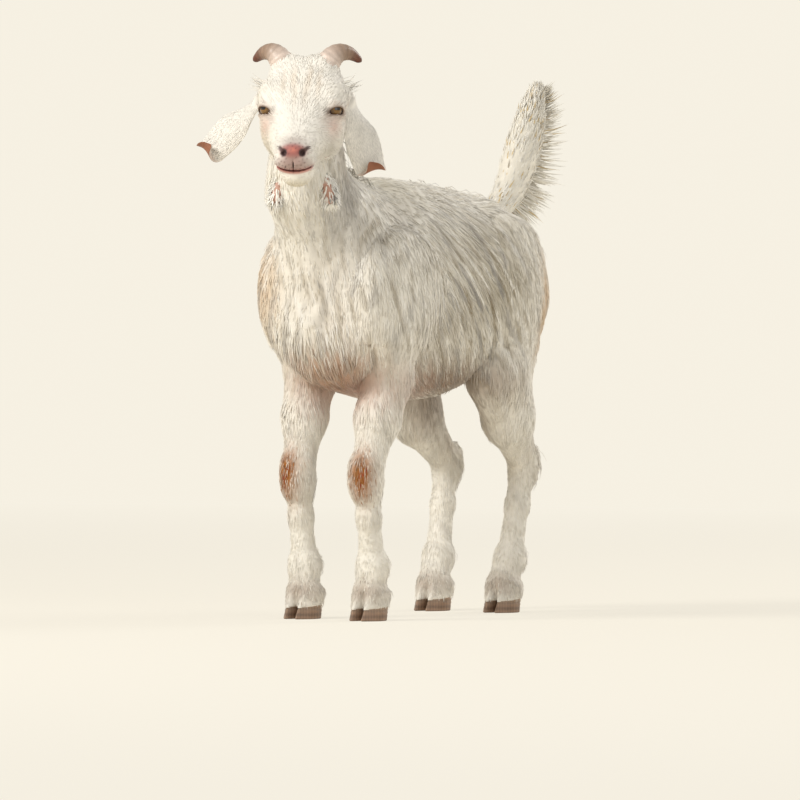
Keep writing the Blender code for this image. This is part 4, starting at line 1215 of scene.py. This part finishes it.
def make_ear_hair(side):
    """Close hair outside the leaf and along the edges inside it."""
    t, w = RNG.random(EAR_COAT) * 0.82, RNG.random(EAR_COAT) * 1.94 - 0.97
    thick = EAR_THICK * edge_thick(w)
    base = ear_surface(side, t, w, thick)
    way = unit(ear_surface(side, np.minimum(t + 0.02, 1), w, thick) - base)
    normal = unit(np.cross(way, ear_surface(side, t, w + 0.02, thick) - base))
    outward = ear_surface(side, t, w, thick + 0.002) - base
    normal *= np.sign(np.sum(normal * outward, axis=1, keepdims=True))
    add_ear_locks(f"ear_{side}_coat", side, base, normal, way, 0.10, (0.86, 0.83, 0.77), 0.0075, 0.0004)
    t = RNG.random(EAR_LINING) * 0.72
    edge = np.sign(RNG.random(EAR_LINING) - 0.5)
    w = edge * (1 - 0.75 * RNG.random(EAR_LINING) ** 1.6) * 0.97
    thick = -0.0018 * edge_thick(w)
    base = ear_surface(side, t, w, thick)
    way = unit(ear_surface(side, np.minimum(t + 0.02, 1), w * 0.97, thick) - base)
    normal = unit(ear_surface(side, t, w, thick - 0.002) - base)
    add_ear_locks(f"ear_{side}_lining", side, base, normal, way, 0.14, (0.84, 0.78, 0.70), 0.0085, 0.0005)


def add_ear_locks(name, side, base, normal, way, scatter, colour, length, lift):
    way = lay(way, normal, scatter)
    tone = np.array(colour) * (0.80 + 0.28 * RNG.random((len(base), 1)))
    piece = Piece(name)
    add_head_locks(piece, base, normal, way, length, 0.0005, lift, 0.0004, tone)
    piece.settle(COAT, (f"ear_{side}",))


def make_ear_tuft(side, sign):
    """Stray hairs where the ear joins the head."""
    count = EAR_TUFT
    base = np.array((0.014, 0.052 * sign, 0.058)) + RNG.normal(0, 0.0045, (count, 3))
    way = unit(np.array((-0.2, 0.9 * sign, 0.25)) + RNG.normal(0, 0.22, (count, 3)))
    normal = unit(np.cross(way, np.cross(np.array((0.3, 0.0, 1.0)), way)))
    tone = np.where(RNG.random((count, 1)) < 0.2, 0.40, 0.92) * np.array((1.0, 0.95, 0.86))
    length = 0.016 + 0.010 * RNG.random(count)
    piece = Piece(f"ear_{side}_tuft")
    add_head_locks(piece, base, normal, way, length, 0.0006, 0.001, -0.002, tone)
    piece.settle(COAT, ("head",))


# Wattles

WATTLE_DROP, WATTLE_LENGTH = 0.038, 0.034
WATTLE_TURN = math.radians(36)
WATTLE_HAIRS = 620
WATTLE_FRONT = np.array((0.4, -0.9, 0.0))
THROAT_SIZE, THROAT_AT, SEAM_RADIUS = (0.0320, 0.0300), 0.03325, 0.049


def beside_throat(sign, drop, away):
    """A place beside the throat, below the poll and off the skin."""
    reach = np.linalg.norm(TURN - POLL)
    down = (TURN - POLL) / reach
    across = np.array((1.0, 0.0, 0.0))
    front = np.cross(down, across)
    share = (drop - THROAT_AT) / (reach - THROAT_AT)
    width, depth = (size + (SEAM_RADIUS - size) * share + away for size in THROAT_SIZE)
    place = POLL + down * drop + across * math.sin(WATTLE_TURN) * width * sign
    place = place + front * math.cos(WATTLE_TURN) * depth
    return HEAD_TURN @ (place - TURN) + TURN


def make_wattles():
    """Fleshy tassels at the throat, each with a feathery fringe."""
    for side, sign in SIDES.items():
        body = f"wattle_{side}"
        root = beside_throat(sign, WATTLE_DROP, 0.0085)
        below = beside_throat(sign, WATTLE_DROP + WATTLE_LENGTH, 0.0150) + (0.0, 0.0, -0.010)
        share = np.linspace(0, 1, 28)
        radii = 0.0046 + 0.0030 * np.sin(share * math.pi * 0.75)
        radii[:1] = 0.002
        radii[-3:] *= np.array((0.85, 0.6, 0.25))
        tint = np.array((0.52, 0.30, 0.235)) * (0.95 + 0.05 * np.sin(share * 20))[:, None]
        flesh = Piece(f"{body}_flesh")
        tube(flesh, root + (below - root) * share[:, None], radii, tint, sides=20)
        flesh.settle(FLESH, (body,), [body])

        s, a = RNG.random(WATTLE_HAIRS), RNG.random(WATTLE_HAIRS) * 2 * math.pi
        down = unit(below - root)
        front = unit(WATTLE_FRONT - down * (WATTLE_FRONT @ down))
        normal = np.cos(a)[:, None] * np.cross(down, front) + np.sin(a)[:, None] * front
        base = root + (below - root) * s[:, None] + normal * (np.interp(s, share, radii) * 0.9)[:, None]
        facing = np.clip(np.sin(a), 0, 1)
        way = normal * (0.75 - 0.5 * facing)[:, None] + np.array((0.0, 0.0, -0.85))
        way = unit(way + RNG.normal(0, 0.12, way.shape))
        keep = RNG.random(WATTLE_HAIRS) > 0.78 * facing
        base, normal, way = base[keep], normal[keep], way[keep]
        count = len(base)
        tone = np.where(RNG.random((count, 1)) < 0.09, 0.30, 0.95) * np.array((1.0, 0.98, 0.93))
        tone = tone * (0.90 + 0.10 * RNG.random((count, 1)))
        coat = Piece(f"{body}_coat")
        length = 0.010 + 0.006 * RNG.random(count)
        coat.add_locks(base, square_to(normal, way), way, length, 0.0010, 0.001, 0.0015, tone)
        coat.settle(COAT, (body,))


# Tail. Each row: place along Y, up and radius
TAIL_PATH = (
    (0.213, 0.507, 0.0130), (0.250, 0.537, 0.0150), (0.285, 0.566, 0.0190), (0.314, 0.607, 0.0225),
    (0.338, 0.652, 0.0190), (0.354, 0.688, 0.0110), (0.361, 0.704, 0.0030),
)
TAIL_STEPS = 40
TAIL_SQUASH = 1.25
TAIL_WHITE, TAIL_STRAW, TAIL_GREY = np.array(((0.86, 0.83, 0.76), (0.62, 0.48, 0.26), (0.46, 0.40, 0.31)))


def make_tail():
    """An upright feather: a thick dock, close hair along it and a long fringe down its back."""
    path = along(TAIL_PATH, TAIL_STEPS)
    points = columns(0.0, path[:, 0], path[:, 1])
    dock = Piece("tail_dock")
    tint = np.broadcast_to(np.array((0.80, 0.76, 0.67)), points.shape)
    tube(dock, points, path[:, 2], tint, sides=28, squash=TAIL_SQUASH)
    dock.settle(COAT, ("tail",), ["tail"])
    ways = unit(np.gradient(points, axis=0))
    step = np.linspace(0, 1, TAIL_STEPS)
    across = np.array((1.0, 0.0, 0.0))
    for index, (count, fringe, width) in enumerate(((3400, False, 0.0009), (1500, True, 0.0011))):
        s = RNG.random(count) ** 0.9
        a = RNG.random(count) * 2 * math.pi
        if fringe:
            a = math.pi / 2 + RNG.normal(0, 0.42, count)
        centre = columns(*(np.interp(s, step, values) for values in points.T))
        way = unit(columns(*(np.interp(s, step, values) for values in ways.T)))
        rear = unit(np.cross(way, across))
        rear = rear * np.where(rear[:, 1:2] < 0, -1.0, 1.0)
        cos, sin, s_row = np.cos(a)[:, None], np.sin(a)[:, None], s[:, None]
        normal = cos * across + sin * rear
        size = np.interp(s, step, path[:, 2])[:, None]
        base = centre + (cos * across + TAIL_SQUASH * sin * rear) * size * 0.92
        if fringe:
            hair = way * (0.10 + 0.80 * s_row) + normal * 0.80 + np.array((0.0, 0.0, -0.55)) * (1 - s_row)
            length = (0.040 + 0.014 * np.sin(s * math.pi)) * (0.75 + 0.4 * RNG.random(count)) * (1 - 0.40 * s)
        else:
            hair = way + normal * 0.16
            length = 0.020 * (0.7 + 0.6 * RNG.random(count)) * (1 - 0.4 * s)
        hair = unit(hair + RNG.normal(0, 0.09, hair.shape))
        pick = RNG.random((count, 1))
        tone = np.where(pick < 0.09, TAIL_STRAW, TAIL_WHITE)
        tone = np.where(pick > 0.96, TAIL_GREY, tone) * (0.84 + 0.22 * RNG.random((count, 1)))
        coat = Piece(f"tail_coat_{index + 1}")
        coat.add_locks(base, square_to(normal, hair), hair, length, width, 0.001, 0.002, tone)
        coat.settle(COAT, ("tail",))


def make_pins():
    """Brushed steel on the pins inside the joints."""
    steel, tree, shader = new_material("steel_pin")
    rough = add_range(tree, add_noise(tree, {"Scale": 220.0}), 0.25, 0.5)
    set_inputs(tree, shader, {"Metallic": 1.0, "Base Color": (0.56, 0.56, 0.57, 1.0), "Roughness": rough})
    for name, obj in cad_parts.items():
        if name.endswith(("_pin", "_post")):
            obj.data.materials.clear()
            obj.data.materials.append(steel)


# Studio

BACKDROP = (0.925, 0.875, 0.765, 1.0)
SKYLIGHT = (0.93, 0.87, 0.76, 1.0)
SKY_STRENGTH = 0.40
FLOOR = (0.91, 0.86, 0.75, 1.0)
FLOOR_HALF = 40
FADE = {"From Min": 0.4, "From Max": 5.0, "To Min": 0.72}  # from near the goat to far off
# Each lamp: place, power, size and colour
LAMPS = {
    "key": ((-1.6, -3.4, 2.9), 150.0, 1.3, (1.0, 0.975, 0.93)),
    "fill": ((3.2, -1.6, 1.4), 30.0, 2.4, (0.95, 0.97, 1.0)),
    "rim": ((1.4, 3.0, 2.4), 60.0, 1.6, (1.0, 0.98, 0.95)),
}
LAMP_TARGET = Vector((0, 0, 0.38))
AZIMUTH = math.radians(30)
ELEVATION = math.radians(1)
ROLL = math.radians(0.5)
CAMERA_DISTANCE = 12.0
CAMERA_TARGET = Vector((0.0, FRAME_Y, 0.286))
CAMERA_SHIFT = -0.002  # to the camera's right
SENSOR = 36.0
PICTURE_WIDTH = 800.0
PIXELS_PER_METRE = 754.0


def plain_rays(tree):
    """1 for rays that show the backdrop itself: straight, mirrored or through glass."""
    path = add_node(tree, "LightPath", {}).outputs
    seen = path["Is Camera Ray"]
    for name in ("Is Glossy Ray", "Is Transmission Ray"):
        seen = add_node(tree, "Math", {0: seen, 1: path[name]}, operation="MAXIMUM").outputs["Value"]
    return seen


def make_world():
    """Soft light from all round, seen as a plain backdrop."""
    scene = bpy.context.scene
    scene.view_settings.view_transform = "Standard"
    scene.world = bpy.data.worlds.new("studio")
    scene.world.use_nodes = True
    tree = scene.world.node_tree
    light = tree.nodes["Background"]
    set_inputs(tree, light, {"Color": SKYLIGHT, "Strength": SKY_STRENGTH})
    seen = add_node(tree, "Background", {"Color": BACKDROP}).outputs["Background"]
    mix = {"Fac": plain_rays(tree), 1: light.outputs["Background"], 2: seen}
    mix = add_node(tree, "MixShader", mix).outputs["Shader"]
    set_inputs(tree, tree.nodes["World Output"], {"Surface": mix})


def make_floor():
    """Plain pale floor that fades into the backdrop."""
    half = FLOOR_HALF
    corners = [(-half, -half, 0), (half, -half, 0), (half, half, 0), (-half, half, 0)]
    mesh = bpy.data.meshes.new("floor")
    mesh.from_pydata(corners, [], [(0, 1, 2, 3)])
    floor = bpy.data.objects.new("floor", mesh)
    bpy.context.scene.collection.objects.link(floor)
    made, tree, shader = new_material("pale_floor")
    set_inputs(tree, shader, {"Base Color": FLOOR, "Roughness": 0.9})
    glow = add_node(tree, "Emission", {"Color": BACKDROP}).outputs["Emission"]
    place = add_node(tree, "TexCoord", {}).outputs["Object"]
    far = add_node(tree, "VectorMath", {0: place}, operation="LENGTH").outputs["Value"]
    fade = add_node(tree, "MapRange", {"Value": far, **FADE})
    share = {0: plain_rays(tree), 1: fade.outputs["Result"]}
    share = add_node(tree, "Math", share, operation="MULTIPLY").outputs["Value"]
    mix = add_node(tree, "MixShader", {"Fac": share, 1: shader.outputs["BSDF"], 2: glow}).outputs["Shader"]
    set_inputs(tree, tree.nodes["Material Output"], {"Surface": mix})
    mesh.materials.append(made)


def make_lamps():
    for name, (place, power, size, colour) in LAMPS.items():
        light = bpy.data.lights.new(name, "AREA")
        light.energy, light.size, light.color = power, size, colour
        lamp = bpy.data.objects.new(name, light)
        lamp.location = place
        lamp.rotation_euler = (LAMP_TARGET - Vector(place)).to_track_quat("-Z", "Y").to_euler()
        bpy.context.scene.collection.objects.link(lamp)


def make_camera():
    data = bpy.data.cameras.new("camera")
    camera = bpy.data.objects.new("camera", data)
    bpy.context.scene.collection.objects.link(camera)
    data.sensor_width = SENSOR
    data.lens = SENSOR * CAMERA_DISTANCE * PIXELS_PER_METRE / PICTURE_WIDTH
    data.clip_end = 100.0
    level = math.cos(ELEVATION)
    way = Vector((math.sin(AZIMUTH) * level, -math.cos(AZIMUTH) * level, math.sin(ELEVATION)))
    right = Vector((math.cos(AZIMUTH), math.sin(AZIMUTH), 0.0))
    camera.location = CAMERA_TARGET + right * CAMERA_SHIFT + way * CAMERA_DISTANCE
    look = (-way).to_track_quat("-Z", "Y").to_matrix() @ Matrix.Rotation(ROLL, 3, "Z")
    camera.rotation_euler = look.to_euler()
    bpy.context.scene.camera = camera


make_camera()
make_world()
make_floor()
make_lamps()
make_torso()
make_neck()
for leg in LEGS:
    make_leg(*leg)
make_face()
make_horns()
make_eyes()
make_ears()
make_wattles()
make_tail()
for leg in LEGS:
    make_hooves(*leg)
make_pins()
